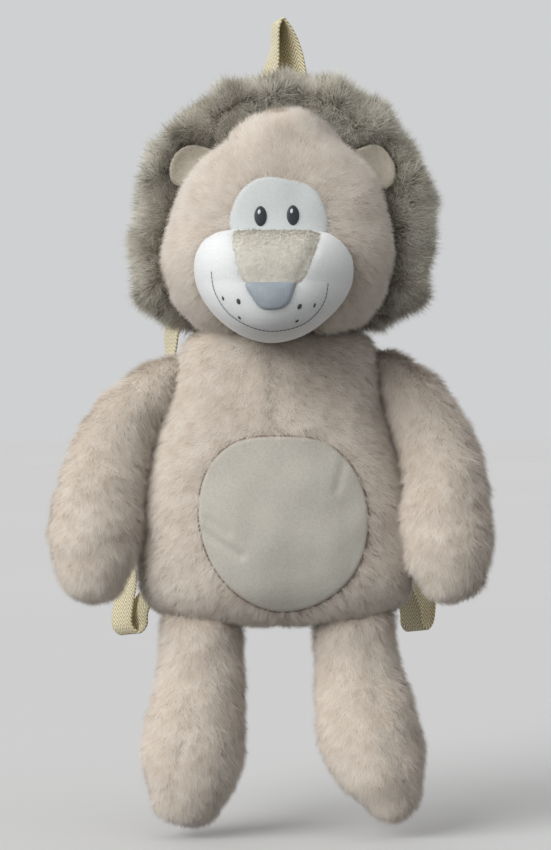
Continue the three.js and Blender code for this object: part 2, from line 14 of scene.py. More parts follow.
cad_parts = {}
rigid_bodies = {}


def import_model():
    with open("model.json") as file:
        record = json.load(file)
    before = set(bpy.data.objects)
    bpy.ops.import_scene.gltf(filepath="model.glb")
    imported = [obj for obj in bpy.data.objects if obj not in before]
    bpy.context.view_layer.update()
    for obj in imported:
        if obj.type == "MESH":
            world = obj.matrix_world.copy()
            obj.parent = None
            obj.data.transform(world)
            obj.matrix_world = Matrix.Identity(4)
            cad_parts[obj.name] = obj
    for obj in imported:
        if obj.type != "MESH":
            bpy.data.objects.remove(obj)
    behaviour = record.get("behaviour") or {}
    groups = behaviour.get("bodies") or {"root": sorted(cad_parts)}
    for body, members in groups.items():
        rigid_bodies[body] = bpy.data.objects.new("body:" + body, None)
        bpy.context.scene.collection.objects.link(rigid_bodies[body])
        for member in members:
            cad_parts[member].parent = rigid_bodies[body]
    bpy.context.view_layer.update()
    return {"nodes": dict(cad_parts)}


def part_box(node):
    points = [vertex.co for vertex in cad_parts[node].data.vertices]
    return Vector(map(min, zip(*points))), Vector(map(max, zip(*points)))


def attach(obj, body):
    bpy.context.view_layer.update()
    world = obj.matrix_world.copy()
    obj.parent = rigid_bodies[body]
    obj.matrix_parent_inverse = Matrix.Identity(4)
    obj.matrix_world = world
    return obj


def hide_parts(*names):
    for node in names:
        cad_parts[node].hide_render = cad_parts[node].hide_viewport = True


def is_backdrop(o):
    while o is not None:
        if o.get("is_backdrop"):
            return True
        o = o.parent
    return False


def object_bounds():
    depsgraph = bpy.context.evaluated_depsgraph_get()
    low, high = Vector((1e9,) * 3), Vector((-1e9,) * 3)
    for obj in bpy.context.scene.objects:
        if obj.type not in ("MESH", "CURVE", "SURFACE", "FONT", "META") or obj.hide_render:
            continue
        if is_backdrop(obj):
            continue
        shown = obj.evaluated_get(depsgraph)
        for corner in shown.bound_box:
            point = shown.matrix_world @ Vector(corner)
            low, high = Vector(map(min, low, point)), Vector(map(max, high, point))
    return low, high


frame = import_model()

bl_info = {
    "name": "Plush Lion Backpack",
    "version": (1, 0, 0),
    "blender": (4, 5, 0),
    "location": "View3D > Sidebar > Plush Pack",
    "description": "Dresses the packed frame of a plush lion backpack",
    "category": "Object",
}

MM = 0.001
WELD = 0.00001
TINY = 1e-6
BODY = "root"
SIGHT = 0.5  # distance from which a line of sight starts
FACE_Y = -0.1  # depth at which a cloth that overhangs its base looks for it
DOWN = np.array([0, 0, -1.0])
AHEAD = np.array([0, -1.0, 0])

# Furry pieces: remesh size and most swelling in millimetres, stuffing, share of the body's tufts, the cloths
# that hide their pile and the pieces that they are sewn to.
LIMB = {"voxel": 3.5, "fill": 0.6, "cap": 1.5, "tufts": 1.0, "covers": (), "sewn_to": ("trunk",)}
FURRED = [
    {"node": "trunk", "voxel": 4.5, "fill": 0.45, "cap": 2.0, "tufts": 0.8,
     "covers": ("belly_patch", "zip_closure"),
     "sewn_to": ("head", "arm_left", "arm_right", "leg_left", "leg_right"), "flow": "trunk", "seed": 11},
    {"node": "head", "voxel": 4.0, "fill": 0.7, "cap": 1.6, "tufts": 1.0,
     "covers": ("muzzle", "eye_patch", "mane"), "sewn_to": ("trunk", "muzzle"), "flow": "head", "seed": 23},
    {"node": "arm_left", **LIMB, "flow": "arm", "seed": 31},
    {"node": "arm_right", **LIMB, "flow": "arm", "seed": 37},
    {"node": "leg_left", **LIMB, "flow": "leg", "seed": 41},
    {"node": "leg_right", **LIMB, "flow": "leg", "seed": 43},
]
MUZZLE = {"voxel": 3.0, "fill": 0.8, "cap": 2.0, "held": 2.5 * MM, "sewn_to": ("head", "trunk")}
STUFFING = {"pressure": 3.0, "quality": 4, "frames": 12}
HELD = 1.5 * MM  # cloth this close to what it is sewn to doesn't swell
SOFTENING = 6  # rounds of smoothing on a stuffed form

# How the pile lies on each kind of piece, and size and rise of the lumps in its stuffing, in millimetres.
FLOW = {
    "trunk": {"down": 1.0, "aside": 0.75, "middle": (-3, -215), "lump": (19, 19, 19), "rise": 1.3},
    "head": {"down": 0.45, "aside": 1.0, "middle": (-2, -150), "lump": (19, 19, 19), "rise": 1.3},
    "arm": {"down": 1.0, "aside": 0.0, "middle": (0, 0), "lump": (30, 30, 10), "rise": 1.9},
    "leg": {"down": 1.0, "aside": 0.0, "middle": (0, 0), "lump": (22, 22, 16), "rise": 1.5},
}
FLOW_NEAR = 20 * MM  # nearer to the middle than this the pile turns less aside
SWIRL = 0.45
SWIRL_SIZE = 22 * MM
SWIRL_SEED = 29
BARE_ABOVE = 2.4 * MM  # bare strip where the pile leans on to a cloth
BARE_BELOW = 0.8 * MM  # bare strip where it leans away
COVER_REACH = 8 * MM  # a cover this close above hides the pile
BACK_FACING = 0.2  # faces that look this much to the back
BACK_TUFTS = 0.7  # share of the tufts that grow there

# Tufts of each pile: root, sunk and patch in millimetres, lean and nudge in degrees, spread, roll, bow and
# parting in radians, gather as a share, and how much the shading is evened out.
PILES = {
    "body": {"kinds": 12, "strands": 16, "seed": 5, "root": 3.0, "sunk": 0.6, "spread": 0.5, "roll": 0.4,
             "bow": 0.3, "gather": 0.3, "lean": 60, "nudge": 14, "even": 2.5, "parting": 0.35, "patch": 14},
    "mane": {"kinds": 12, "strands": 20, "seed": 9, "root": 4.0, "sunk": 1.0, "spread": 0.9, "roll": 1.0,
             "bow": 0.5, "gather": 0.6, "lean": 38, "nudge": 24, "even": 1.3, "parting": 0.8, "patch": 12},
    "short": {"kinds": 8, "strands": 12, "seed": 3, "root": 1.6, "sunk": 0.2, "spread": 1.2, "roll": 0.8,
              "bow": 0.4, "gather": 0.5, "lean": 55, "nudge": 25, "even": 1.5, "parting": 0.8, "patch": 3},
}
SHORTEST = 0.7  # the shortest strand of a tuft as a share of its longest
TUFT_SIZES = (0.78, 1.12)
PARTING_SEED, SIZE_SEED = 7, 19
MANE_SEED = 53
BAKE_RANGE = (0.02, 0.98)

# Short piles, on the front of a small cloth only.
SHORT_LIE = (0.3, -0.3, -1.0)
SHORT_WIDE = 0.4 * MM
SHORT_TUFTS = 900000.0  # on a square metre
# Painted shade: a short pile's roots are its tip colour darkened to this share.
SHORT_ROOT_SHADE = 0.86  # how much darker a short pile is at its backing
SHORT_DIM = "E6E0DA"
BRIDGE_PILE = {"long": 1.9 * MM, "seed": 61}
EAR_NAP = {"long": 1.3 * MM, "seed": 67}

# Seams that part the pile, as (x, z) points in millimetres on the front.
SEAMS = {
    "trunk": [[(-3, -205), (-3.5, -228), (-3.5, -252)], [(2.5, -357), (2.5, -366)]],
    "leg_left": [[(-51, -405), (-54, -425), (-61, -450), (-63, -468)]],
    "leg_right": [[(53, -372), (57, -408), (61, -424), (71, -449), (76, -462)]],
}
SEAM_HALF = 3 * MM
SEAM_DEPTH = 1.0 * MM
SEAM_PARTING = {"trunk": 1.4, "leg_left": 0.6, "leg_right": 0.6}  # how much each seam turns the pile aside
SEAM_LAID = 0.25  # height that the pile loses there, as a share of the parting
CROWN = {"from": -95, "full": -78, "middle": 4, "half": 25, "drop": 4.0}

# Outlines of the ears in millimetres, as (x, z) seen from the front; their inner ends stay behind the face.
EAR_OUTLINES = {
    "left": [(-40, -84.6), (-46, -82.6), (-52, -81.8), (-57, -83.2), (-61.2, -86.6), (-63.8, -91),
             (-65, -96), (-65, -100.5), (-63, -104.5), (-58, -106), (-51, -101.5), (-43.5, -92)],
    "right": [(46, -84.6), (51, -82.6), (56.5, -81.4), (60.6, -82.6), (64, -85.6), (66.8, -89.8),
              (68.6, -94), (69.2, -98), (68.6, -102), (66.6, -105.4), (63, -108), (57, -104.5), (50, -95)],
}
EAR_FORM = {"y": -54 * MM, "thick": 4.2 * MM, "cup": 3.0 * MM, "rings": 8, "steps": 5, "fill": 0.3}
EAR_FRAME = 9 * MM  # how far the mane leans away from the ears

# The mane: its tufts are closed to one band, which keeps clear of the ears. Lengths are in millimetres.
MANE = {"voxel": 4.0, "softening": 4, "closed": 12, "smoothing": 34, "inset": 0.5, "middle_y": -34,
        "press": 1.4, "ear_clear": 0.3}
MANE_LIE = {"middle": (2, -135), "ruffle": 10, "ruffled": 1.1, "outward": 1.1, "drift": (0, -0.15, -0.1),
            "off_ear": 1.6, "full_at": 9, "lowest": 0.45, "bare": 2.5}
FRINGE = {"above": 0.6, "ahead": -40, "near": 13, "inward": 1.4, "height": 0.9}  # pile over the brow

# Sewn-on cloths: points of the outline, its growth, rounds of smoothing, rings, and lift, crown, tuck and
# thickness. Lengths are in millimetres.
PATCHES = {
    "eye_patch": {"count": 72, "grow": 0.5, "rounds": 2, "rings": 12,
                  "lift": 1.0, "crown": 0.8, "tuck": 0.0, "thick": 1.2},
    "nose_bridge": {"count": 64, "grow": 0.8, "rounds": 0, "rings": 12,
                    "lift": 0.4, "crown": 0.5, "tuck": 0.2, "thick": 0.8},
    "belly_patch": {"count": 168, "grow": 0.6, "rounds": 3, "rings": 36,
                    "lift": 1.4, "crown": 1.6, "tuck": 0.2, "thick": 1.4},
    "nose": {"rings": 8, "lift": 1.3, "crown": 0.8, "tuck": 0.2, "thick": 1.2},
    "eye": {"count": 40, "grow": 0.4, "rounds": 0, "rings": 6,
            "lift": 0.7, "crown": 0.5, "tuck": 0.2, "thick": 0.7},
}
HIDDEN_EDGE = {"below": -134 * MM, "longer": 6 * MM}  # the eye patch runs on behind the muzzle
BRIDGE_TOP = -137.2 * MM  # above this the muzzle turns away from the front

# Creases by their ends, in millimetres on the front.
CREASE_HALF = 2.6 * MM
BELLY_CREASES = [
    {"from": (-45, -311), "to": (-22, -325), "deep": 1.3},
    {"from": (-41, -304), "to": (-30, -312), "deep": 0.9},
    {"from": (33, -287), "to": (38, -270), "deep": 0.8},
]
MUZZLE_CREASES = [
    {"from": (22.5, -138), "to": (19, -150), "deep": 1.2},
    {"from": (19, -150), "to": (10.5, -167), "deep": 1.3},
    {"from": (-25.5, -138), "to": (-20, -167), "deep": 0.9},
]
CHIN = {"from": -167, "high": 25, "behind": -90, "deep": 16, "push": 9}  # the stuffing fills the chin

# Face landmarks in millimetres, as (x, z) seen from the front.
NOSE = [(-4, -168), (8, -167.8), (9.8, -169.2), (8.5, -173.6), (6.4, -179), (3, -182.6), (-1.6, -184),
        (-8.4, -184), (-12.4, -181.6), (-15.4, -177.4), (-18.2, -172.8), (-19.4, -169.6), (-17, -168.2)]
NOSE_STEPS = 7
MOUTH = [(-38.5, -162.5), (-37.5, -170), (-34.6, -177.2), (-29, -185), (-21.5, -190.5), (-13, -194.2),
         (-4, -195.6), (6, -194.3), (14.5, -191), (21.5, -185), (26, -177.7), (27.7, -168.8)]
MOUTH_STEPS = 8
WHISKER_DOTS = [
    {"x": -31.8, "z": -177, "wide": 1.5, "high": 2.7, "lean": 20},
    {"x": -23, "z": -179, "wide": 2.6, "high": 3.6, "lean": 20},
    {"x": -22.5, "z": -188, "wide": 1.6, "high": 2.5, "lean": 35},
    {"x": 11.5, "z": -182, "wide": 2.6, "high": 3.6, "lean": -30},
    {"x": 20, "z": -181, "wide": 1.5, "high": 3.0, "lean": -10},
    {"x": 10, "z": -190, "wide": 1.6, "high": 2.5, "lean": -40},
]

# Stitches: long, wide and thick in millimetres.
MOUTH_STITCH = {"size": (2.6, 0.55, 0.7), "step": 2.4, "lift": 0.0}
BELLY_STITCH = {"size": (3.2, 0.55, 0.6), "step": 3.0, "lift": 0.6}
WHISKER_THICK = 1.2
GLINT = {"size": (3.0, 1.7, 0.6), "x": -0.8, "z": 2.4, "lean": 0.15}
SATIN_PITCH = 0.8

# Routes of the webbing in millimetres: x, y, z, the angle of its width from the Y axis about Z, and how far
# its rear edge drops, as a share of the width.
HANG_LOOP = [
    (-15, -18, -92, -22, 0), (-13, -4, -66, -24, 0), (-5.5, -1, -31, -22, 0), (-2.6, 0, -16, -11, 0),
    (-2.2, 0, -6, -10, 0), (-1.6, 0, -2, -12, 0), (-0.2, 0, 0.8, -15, 0), (1.4, 0, -2, -20, 0),
    (2.8, 0, -6, -27, 0), (5.2, 0, -15, -37, 0), (8.2, -1, -29, -40, 0), (14, -4, -66, -38, 0),
    (16, -18, -92, -30, 0),
]
STRAP_LEFT = [
    (-34, -16, -216, -76, 0), (-39, 0, -199, -66, 0), (-50, 12, -180, -46, 0), (-62, 20, -177, -30, 0),
    (-67, 26, -190, -23, 0), (-69, 32, -207, -16, 0), (-78, 42, -244, -4, 0), (-87, 43, -288, -8, 0),
    (-95, 26, -322, -24, 0), (-94, 6, -344, -30, 0), (-96, -3, -360, -32, -0.08),
    (-96.5, -7, -371.5, -32, -0.12), (-91.5, -9, -376.5, -32, -0.12), (-87, -11, -372, -32, -0.12),
    (-85, -13, -360, -32, -0.06), (-69, -20, -338, -30, 0),
]
STRAP_RIGHT = [
    (34, -16, -216, 76, 0), (37, 0, -199, 66, 0), (43, 12, -184, 40, 0), (49, 21, -187, 16, 0),
    (54, 30, -206, 0, 0), (73, 42, -244, -8, 0), (83, 43, -288, -14, 0), (89, 27, -322, -24, 0),
    (90, 8, -345, -28, 0), (90, -1, -360, -28, -0.08), (88.5, -5, -370.5, -28, -0.12),
    (85, -8, -374.5, -28, -0.12), (81.5, -10, -370.5, -28, -0.12), (80, -12, -360, -28, -0.06),
    (70, -19, -337, -28, 0),
]
ROUTE_STEPS = 14
BURIED = 5 * MM  # webbing deeper than this in its base is left off
WEAVE = {"column": 4.2, "ridge": 2.5}
# Edge of the webbing's section, as shares of its width and thickness, and steps across its flat.
WEBBING_EDGE = [(-0.5, 0.0), (-0.488, 0.36), (-0.46, 0.5)]
WEBBING_STEPS = 10

# The zip, in millimetres: its level, the spacing of its teeth, what stays bare at each end, and a tooth.
ZIP = {"voxel": 0.7, "softening": 2, "z": -228, "pitch": 1.8, "end": 2, "off": 1.0, "lean": 0.35,
       "tooth": (2.4, 0.9, 1.0)}

# Where the lights and the camera stand, in metres.
KEY_FROM = (-0.67, -0.53, 0.53)
BACK_FROM = (-0.3, 0.94, 0.12)
LIGHT_SPREAD = math.radians(45)
CAMERA_PLACE = (-0.0021, -1.545, -0.2487)
SENSOR_WIDE = 36
PAPER = {"reach": 40.0, "sides": 64, "below": 2 * MM}


def linear(text):
    """An sRGB hex colour as linear red, green, blue and alpha."""
    parts = [int(text[i:i + 2], 16) / 255 for i in (0, 2, 4)]
    return tuple(c / 12.92 if c <= 0.04045 else ((c + 0.055) / 1.055) ** 2.4 for c in parts) + (1.0,)


def toned(dye, share):
    """A colour at a share of its brightness."""
    return tuple(c * share for c in dye[:3]) + (1.0,)


def colour(name, description, text):
    """A colour setting with its default given as an sRGB hex value."""
    return FloatVectorProperty(name=name, description=description, default=linear(text), size=4,
                               subtype="COLOR", min=0, max=1)


def length(name, description, default_mm):
    """A length setting with its default given in millimetres."""
    return FloatProperty(name=name, description=description, default=default_mm * MM, min=0,
                         subtype="DISTANCE", unit="LENGTH")


def number(name, description, default):
    """A plain number setting."""
    return FloatProperty(name=name, description=description, default=default)


class PlushPile(bpy.types.PropertyGroup):
    """Sizes and colours of the furry cloths."""

    body_long: length("Body pile", "Length of the longest strands on body, head and limbs", 8.5)
    body_wide: length("Body strand", "Width of a body strand, coarser than real so that it shows", 0.42)
    body_tufts: IntProperty(name="Body tufts", description="Tufts on a square metre of body", default=240000)
    body_tip: colour("Body tips", "Colour of the ends of the body pile", "E8E2D9")
    # Painted shade: the body roots are darkened for the shade deep in the pile, and the backing takes this
    # colour too.
    body_root_shade: colour("Body roots", "Colour of the body pile at its backing", "D0C6BA")
    body_dim: colour("Body patches", "Tint of the dimmer patches of the body pile", "E9E2DC")
    mane_long: length("Mane pile", "Length of the longest strands of the mane", 14)
    mane_wide: length("Mane strand", "Width of a mane strand, coarser than real so that it shows", 0.34)
    mane_tufts: IntProperty(name="Mane tufts", description="Tufts on a square metre of mane", default=260000)
    mane_tip: colour("Mane tips", "Colour of the ends of the mane", "F7F4E8")
    # Painted shade: the mane roots are darkened for the shade deep in the pile, and the backing takes this
    # colour too.
    mane_root_shade: colour("Mane roots", "Colour of the mane at its backing", "7E7668")
    mane_dim: colour("Mane patches", "Tint of the dimmer patches of the mane", "D2CDC4")


class PlushCloth(bpy.types.PropertyGroup):
    """Colours of the velours and of the embroidery."""

    white: colour("White velour", "Muzzle", "F6F9F9")
    # Painted shade: the eye field is the white velour darkened for the shade of its recess.
    field: colour("Eye field velour", "Field behind the eyes, a little duller", "DBDFDE")
    ear: colour("Ear velour", "Both ears", "CBC4B6")
    bridge: colour("Nose bridge", "Short plush above the nose", "E1DFD6")
    belly: colour("Belly velour", "Round patch on the front", "CFCBC0")
    nose: colour("Nose thread", "Satin stitch of the nose", "A2ACB4")
    pupil: colour("Pupil thread", "Satin stitch of the eyes", "252B33")
    mouth: colour("Mouth thread", "Mouth line and whisker dots", "3E4044")
    glint: colour("Glint thread", "Light stitch in each eye", "F4F6F7")
    seam: colour("Seam thread", "Seam round the belly patch", "9B8472")


class PlushWebbing(bpy.types.PropertyGroup):
    """Sizes and colours of webbing and zip."""

    wide: length("Width", "Width of the webbing", 25)
    thick: length("Thickness", "Thickness of the webbing", 1.6)
    light: colour("Raised yarn", "Yarn on top of the weave", "F6F1DA")
    # Painted shade: the sunk yarn is the cream yarn darkened for the shade in the grooves of the weave.
    dark: colour("Sunk yarn", "Yarn in the grooves of the weave", "BCA868")
    tape: colour("Zip tape", "Woven tape of the zip", "CFC4A8")
    coil: colour("Zip coil", "Nylon coil and slider", "BDB08E")


class PlushStage(bpy.types.PropertyGroup):
    """Floor, light and camera."""

    paper: colour("Paper", "Floor", "D9D9D9")
    backdrop: colour("Backdrop", "Colour of the far backdrop", "CFD0D1")
    key: number("Key light", "Strength of the broad light, upper left", 2.05)
    back: number("Back light", "Strength of the light behind", 0.8)
    from_above: number("Light from above", "Strength of the soft light overhead", 0.6)
    from_below: number("Light from below", "Strength of the soft light below", 0.12)
    lens: number("Lens", "Focal length in millimetres", 105.9)


# Small helpers for nodes, meshes and objects


def put(tree, kind, inputs=None, stops=None, **settings):
    """Adds a node, with its settings, its input values or links, and the stops of a colour ramp."""
    made = tree.nodes.new(kind)
    for key, value in settings.items():
        setattr(made, key, value)
    for key, value in (inputs or {}).items():
        if isinstance(value, bpy.types.NodeSocket):
            tree.links.new(value, made.inputs[key])
        else:
            made.inputs[key].default_value = value
    if stops:
        ramp = made.color_ramp.elements
        while len(ramp) < len(stops):
            ramp.new(1.0)
        for element, (place, shade) in zip(ramp, stops):
            element.position = place
            element.color = shade
    return made


def open_tree(name, inputs, output):
    """A new Geometry Nodes tree with its named inputs and output; returns the tree and what it is given."""
    tree = bpy.data.node_groups.new(name, "GeometryNodeTree")
    for label, kind in inputs:
        tree.interface.new_socket(label, in_out="INPUT", socket_type=f"NodeSocket{kind}")
    tree.interface.new_socket(output, in_out="OUTPUT", socket_type="NodeSocketGeometry")
    return tree, put(tree, "NodeGroupInput").outputs


def close_tree(tree, output, instances, finish):
    """Ends a tree: its instances become real and get their material."""
    real = put(tree, "GeometryNodeRealizeInstances", {"Geometry": instances})
    dyed = put(tree, "GeometryNodeSetMaterial", {"Geometry": real.outputs[0], "Material": finish})
    put(tree, "NodeGroupOutput", {output: dyed.outputs[0]})
    return tree


def mesh_object(name, points, faces):
    """A new object with the given mesh, linked to the scene."""
    mesh = bpy.data.meshes.new(name)
    mesh.from_pydata([tuple(p) for p in points], [], faces)
    mesh.update()
    return linked(bpy.data.objects.new(name, mesh))


def linked(obj):
    """Links a new object to the scene."""
    bpy.context.scene.collection.objects.link(obj)
    return obj


def applied(obj):
    """Turns what the modifiers make into the object's own plain mesh."""
    graph = bpy.context.evaluated_depsgraph_get()
    made = bpy.data.meshes.new_from_object(obj.evaluated_get(graph))
    old = obj.data
    obj.modifiers.clear()
    obj.data = made
    bpy.data.meshes.remove(old)
    return obj


def with_modifier(obj, kind, **settings):
    """Adds one modifier, sets it and applies it."""
    modifier = obj.modifiers.new(kind, kind)
    for key, value in settings.items():
        setattr(modifier, key, value)
    return applied(obj)


def remeshed(obj, voxel, rounds):
    """Gives the object an even mesh, with the voxel in millimetres, and smooths it."""
    with_modifier(obj, "REMESH", mode="VOXEL", voxel_size=voxel * MM, use_smooth_shade=True)
    return with_modifier(obj, "SMOOTH", factor=0.5, iterations=rounds)


def run_tree(obj, tree, values):
    """Runs a node tree on the object with the named inputs and keeps the result as a plain mesh."""
    modifier = obj.modifiers.new(tree.name, "NODES")
    modifier.node_group = tree
    for item in tree.interface.items_tree:
        if item.name in values:
            modifier[item.identifier] = values[item.name]
    return applied(obj)


def points_of(mesh):
    """Vertex places as an array."""
    flat = np.empty(len(mesh.vertices) * 3, np.float32)
    mesh.vertices.foreach_get("co", flat)
    return flat.reshape(-1, 3).astype(float)


def normals_of(mesh):
    """Vertex normals as an array."""
    return np.array([v.normal for v in mesh.vertices], float)


def set_points(mesh, places):
    """Moves all vertices."""
    mesh.vertices.foreach_set("co", np.asarray(places, np.float32).ravel())
    mesh.update()


def store(mesh, name, kind, values):
    """Keeps one value per vertex as a named attribute."""
    made = mesh.attributes.new(name, kind, "POINT")
    field = "vector" if kind == "FLOAT_VECTOR" else "value"
    made.data.foreach_set(field, np.asarray(values, np.float32).ravel())


def stored(mesh, name):
    """One number per vertex, read from a named attribute."""
    values = np.empty(len(mesh.vertices), np.float32)
    mesh.attributes[name].data.foreach_get("value", values)
    return values


def drop_stored(mesh, names):
    """Removes attributes that have done their work."""
    for name in names:
        if name in mesh.attributes:
            mesh.attributes.remove(mesh.attributes[name])


def add_map(mesh, name, spots):
    """Adds a UV map with one spot for each vertex."""
    corner = np.empty(len(mesh.loops), np.int32)
    mesh.loops.foreach_get("vertex_index", corner)
    layer = mesh.uv_layers.new(name=name)
    layer.uv.foreach_set("vector", np.asarray(spots, np.float32)[corner].ravel())


def surface(obj):
    """A search tree of the object's faces."""
    shape = bmesh.new()
    shape.from_mesh(obj.data)
    tree = BVHTree.FromBMesh(shape)
    shape.free()
    return tree


def smooth_faces(obj):
    """Shades the whole mesh smooth."""
    obj.data.polygons.foreach_set("use_smooth", [True] * len(obj.data.polygons))
    obj.data.update()


def face_outward(obj, to_front=False):
    """Turns all faces the same way round: outward, or to the front on an open cloth."""
    shape = bmesh.new()
    shape.from_mesh(obj.data)
    bmesh.ops.recalc_face_normals(shape, faces=shape.faces)
    if to_front and sum(face.normal.y * face.calc_area() for face in shape.faces) > 0:
        bmesh.ops.reverse_faces(shape, faces=shape.faces)
    shape.to_mesh(obj.data)
    shape.free()


def finish_piece(obj, nodes=(), material=None):
    """Gives a finished piece its material in a material slot and its body, and hides the CAD nodes that it
    stands for.
    """
    if material is not None:
        obj.data.materials.clear()
        obj.data.materials.append(material)
    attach(obj, BODY)
    for node in nodes:
        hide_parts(node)
    return obj


def piece(name):
    """A finished piece by its name; an error if an earlier step hasn't made it."""
    found = bpy.data.objects.get(name)
    if found is None:
        raise RuntimeError(f"{name} is made by an earlier step")
    return found


def front_hit(tree, x, z, from_behind=False):
    """Where a line from the front, or from behind, meets a surface: point and outward normal."""
    outward = 1 if from_behind else -1
    point, normal, _, _ = tree.ray_cast(Vector((x, SIGHT * outward, z)), Vector((0, -outward, 0)))
    if point is None:
        point, normal, _, _ = tree.find_nearest(Vector((x, FACE_Y, z)))
    return point, normal if normal.y * outward > 0 else -normal


# Stuffed forms


def drop_lining(shape):
    """Keeps the outside of a hollow piece: a face of the lining looks at another face."""
    tree = BVHTree.FromBMesh(shape)
    lining = []
    for face in shape.faces:
        start = face.calc_center_median() + face.normal * WELD * 10
        if tree.ray_cast(start, face.normal)[0] is not None:
            lining.append(face)
    bmesh.ops.delete(shape, geom=lining, context="FACES")
    bmesh.ops.holes_fill(shape, edges=[e for e in shape.edges if e.is_boundary])


def soft_form(name, node, voxel, rounds, hollow=False):
    """An evenly meshed, rounded copy of a CAD node."""
    shape = bmesh.new()
    shape.from_mesh(frame["nodes"][node].data)
    bmesh.ops.remove_doubles(shape, verts=shape.verts, dist=WELD)
    shape.normal_update()
    if hollow:
        drop_lining(shape)
    mesh = bpy.data.meshes.new(name)
    shape.to_mesh(mesh)
    shape.free()
    return remeshed(linked(bpy.data.objects.new(name, mesh)), voxel, rounds)


def stuff(obj, cap, held):
    """Swells the cloth with its stuffing. Held vertices stay, and none moves further than the cap."""
    scene = bpy.context.scene
    before = points_of(obj.data)
    group = obj.vertex_groups.new(name="sewn")
    group.add([int(i) for i in np.flatnonzero(held)], 1.0, "REPLACE")
    cloth = obj.modifiers.new("Stuffing", "CLOTH")
    cloth.settings.use_pressure = True
    cloth.settings.uniform_pressure_force = STUFFING["pressure"]
    cloth.settings.effector_weights.gravity = 0
    cloth.settings.vertex_group_mass = "sewn"
    cloth.settings.quality = STUFFING["quality"]
    cloth.point_cache.frame_start = 1
    cloth.point_cache.frame_end = STUFFING["frames"]
    for step in range(1, STUFFING["frames"] + 1):
        scene.frame_set(step)
    graph = bpy.context.evaluated_depsgraph_get()
    after = points_of(obj.evaluated_get(graph).data)
    obj.modifiers.clear()
    obj.vertex_groups.clear()
    scene.frame_set(1)
    moved = after - before
    far = np.linalg.norm(moved, axis=1, keepdims=True)
    moved *= np.minimum(1, cap * MM / np.maximum(far, TINY * MM))
    set_points(obj.data, before + moved)
    with_modifier(obj, "SMOOTH", factor=0.5, iterations=2)


def lump(obj, seed, flow):
    """Slight lumps of the stuffing and the pile."""
    places = points_of(obj.data)
    scaled = places / (np.array(flow["lump"]) * MM) + np.array([seed, 0, 0])
    rise = np.array([noise.noise(Vector(p)) for p in scaled])
    set_points(obj.data, places + normals_of(obj.data) * rise[:, None] * flow["rise"] * MM)


def nearest_of(places, nodes):
    """Distance and place of the nearest point of some CAD nodes, for each place."""
    least = np.full(len(places), 1.0)
    spots = np.array(places)
    for node in nodes:
        tree = surface(frame["nodes"][node])
        for i, p in enumerate(places):
            spot, _, _, far = tree.find_nearest(Vector(p))
            if far < least[i]:
                least[i] = far
                spots[i] = spot
    return least, spots


def gap_to(places, nodes):
    """Distance of each place to the nearest of some CAD nodes."""
    return nearest_of(places, nodes)[0]


def under(places, normals, nodes):
    """Which places some CAD nodes cover closely."""
    found = np.zeros(len(places), bool)
    for node in nodes:
        tree = surface(frame["nodes"][node])
        for i, (p, n) in enumerate(zip(places, normals)):
            start = Vector(p - n * COVER_REACH / 2)
            if tree.ray_cast(start, Vector(n), COVER_REACH * 1.5)[0] is not None:
                found[i] = True
    return found


def seam_offset(x, z, line):
    """Signed sideways distance to a seam line, or None beyond its ends."""
    for (x0, z0), (x1, z1) in zip(line, line[1:]):
        low, high = min(z0, z1) * MM, max(z0, z1) * MM
        if low <= z <= high:
            f = (z - z0 * MM) / ((z1 - z0) * MM)
            return x - (x0 + (x1 - x0) * f) * MM
    return None


def beside_seams(node, places, normals, reach):
    """The places near a seam on the front of a piece, each with its signed sideways distance."""
    for line in SEAMS.get(node, []):
        for i, (x, y, z) in enumerate(places):
            away = seam_offset(x, z, line)
            if away is not None and normals[i, 1] < 0 and abs(away) < reach:
                yield i, away


def press_seams(obj, node):
    """Sinks the seams of a stuffed piece into its front."""
    places = points_of(obj.data)
    normals = normals_of(obj.data)
    for i, away in beside_seams(node, places, normals, SEAM_HALF):
        places[i] -= normals[i] * SEAM_DEPTH * (1 - abs(away) / SEAM_HALF)
    set_points(obj.data, places)


def round_crown(obj):
    """Lowers the shoulders of the crown, which the cushion form of the stuffing leaves too square."""
    places = points_of(obj.data)
    rise = np.clip((places[:, 2] / MM - CROWN["from"]) / (CROWN["full"] - CROWN["from"]), 0, 1)
    aside = (places[:, 0] / MM - CROWN["middle"]) / CROWN["half"]
    places[:, 2] -= np.minimum(aside ** 2, 1) * rise * CROWN["drop"] * MM
    set_points(obj.data, places)


def fill_chin(obj):
    """Pushes the lower front of the muzzle out and sinks its creases."""
    places = points_of(obj.data)
    low = np.clip((CHIN["from"] * MM - places[:, 2]) / (CHIN["high"] * MM), 0, 1)
    ahead = np.clip((CHIN["behind"] * MM - places[:, 1]) / (CHIN["deep"] * MM), 0, 1)
    places[:, 1] -= low * ahead * CHIN["push"] * MM
    set_points(obj.data, places)
    normals = normals_of(obj.data)
    for i, (x, y, z) in enumerate(places):
        if normals[i, 1] < 0:
            places[i] -= normals[i] * crease_depth(x, z, MUZZLE_CREASES)
    set_points(obj.data, places)


# Pile


def laid_flat(lie, normals):
    """Directions laid flat on a surface, at length one."""
    flat = lie - normals * np.sum(lie * normals, axis=1, keepdims=True)
    return flat / np.maximum(np.linalg.norm(flat, axis=1, keepdims=True), TINY)


def comb(mesh, lie, height, grows):
    """Stores how the pile of a cloth lies, how high it is and where it grows."""
    store(mesh, "lie", "FLOAT_VECTOR", lie)
    store(mesh, "height", "FLOAT", height)
    store(mesh, "grows", "FLOAT", grows)


def swirls(places, size, shift):
    """Smooth changes of direction over some places, the same in every run."""
    noise.seed_set(SWIRL_SEED)
    start = Vector((shift, 0, 0))
    return np.array([noise.noise_vector(Vector(p) / size + start) for p in places])


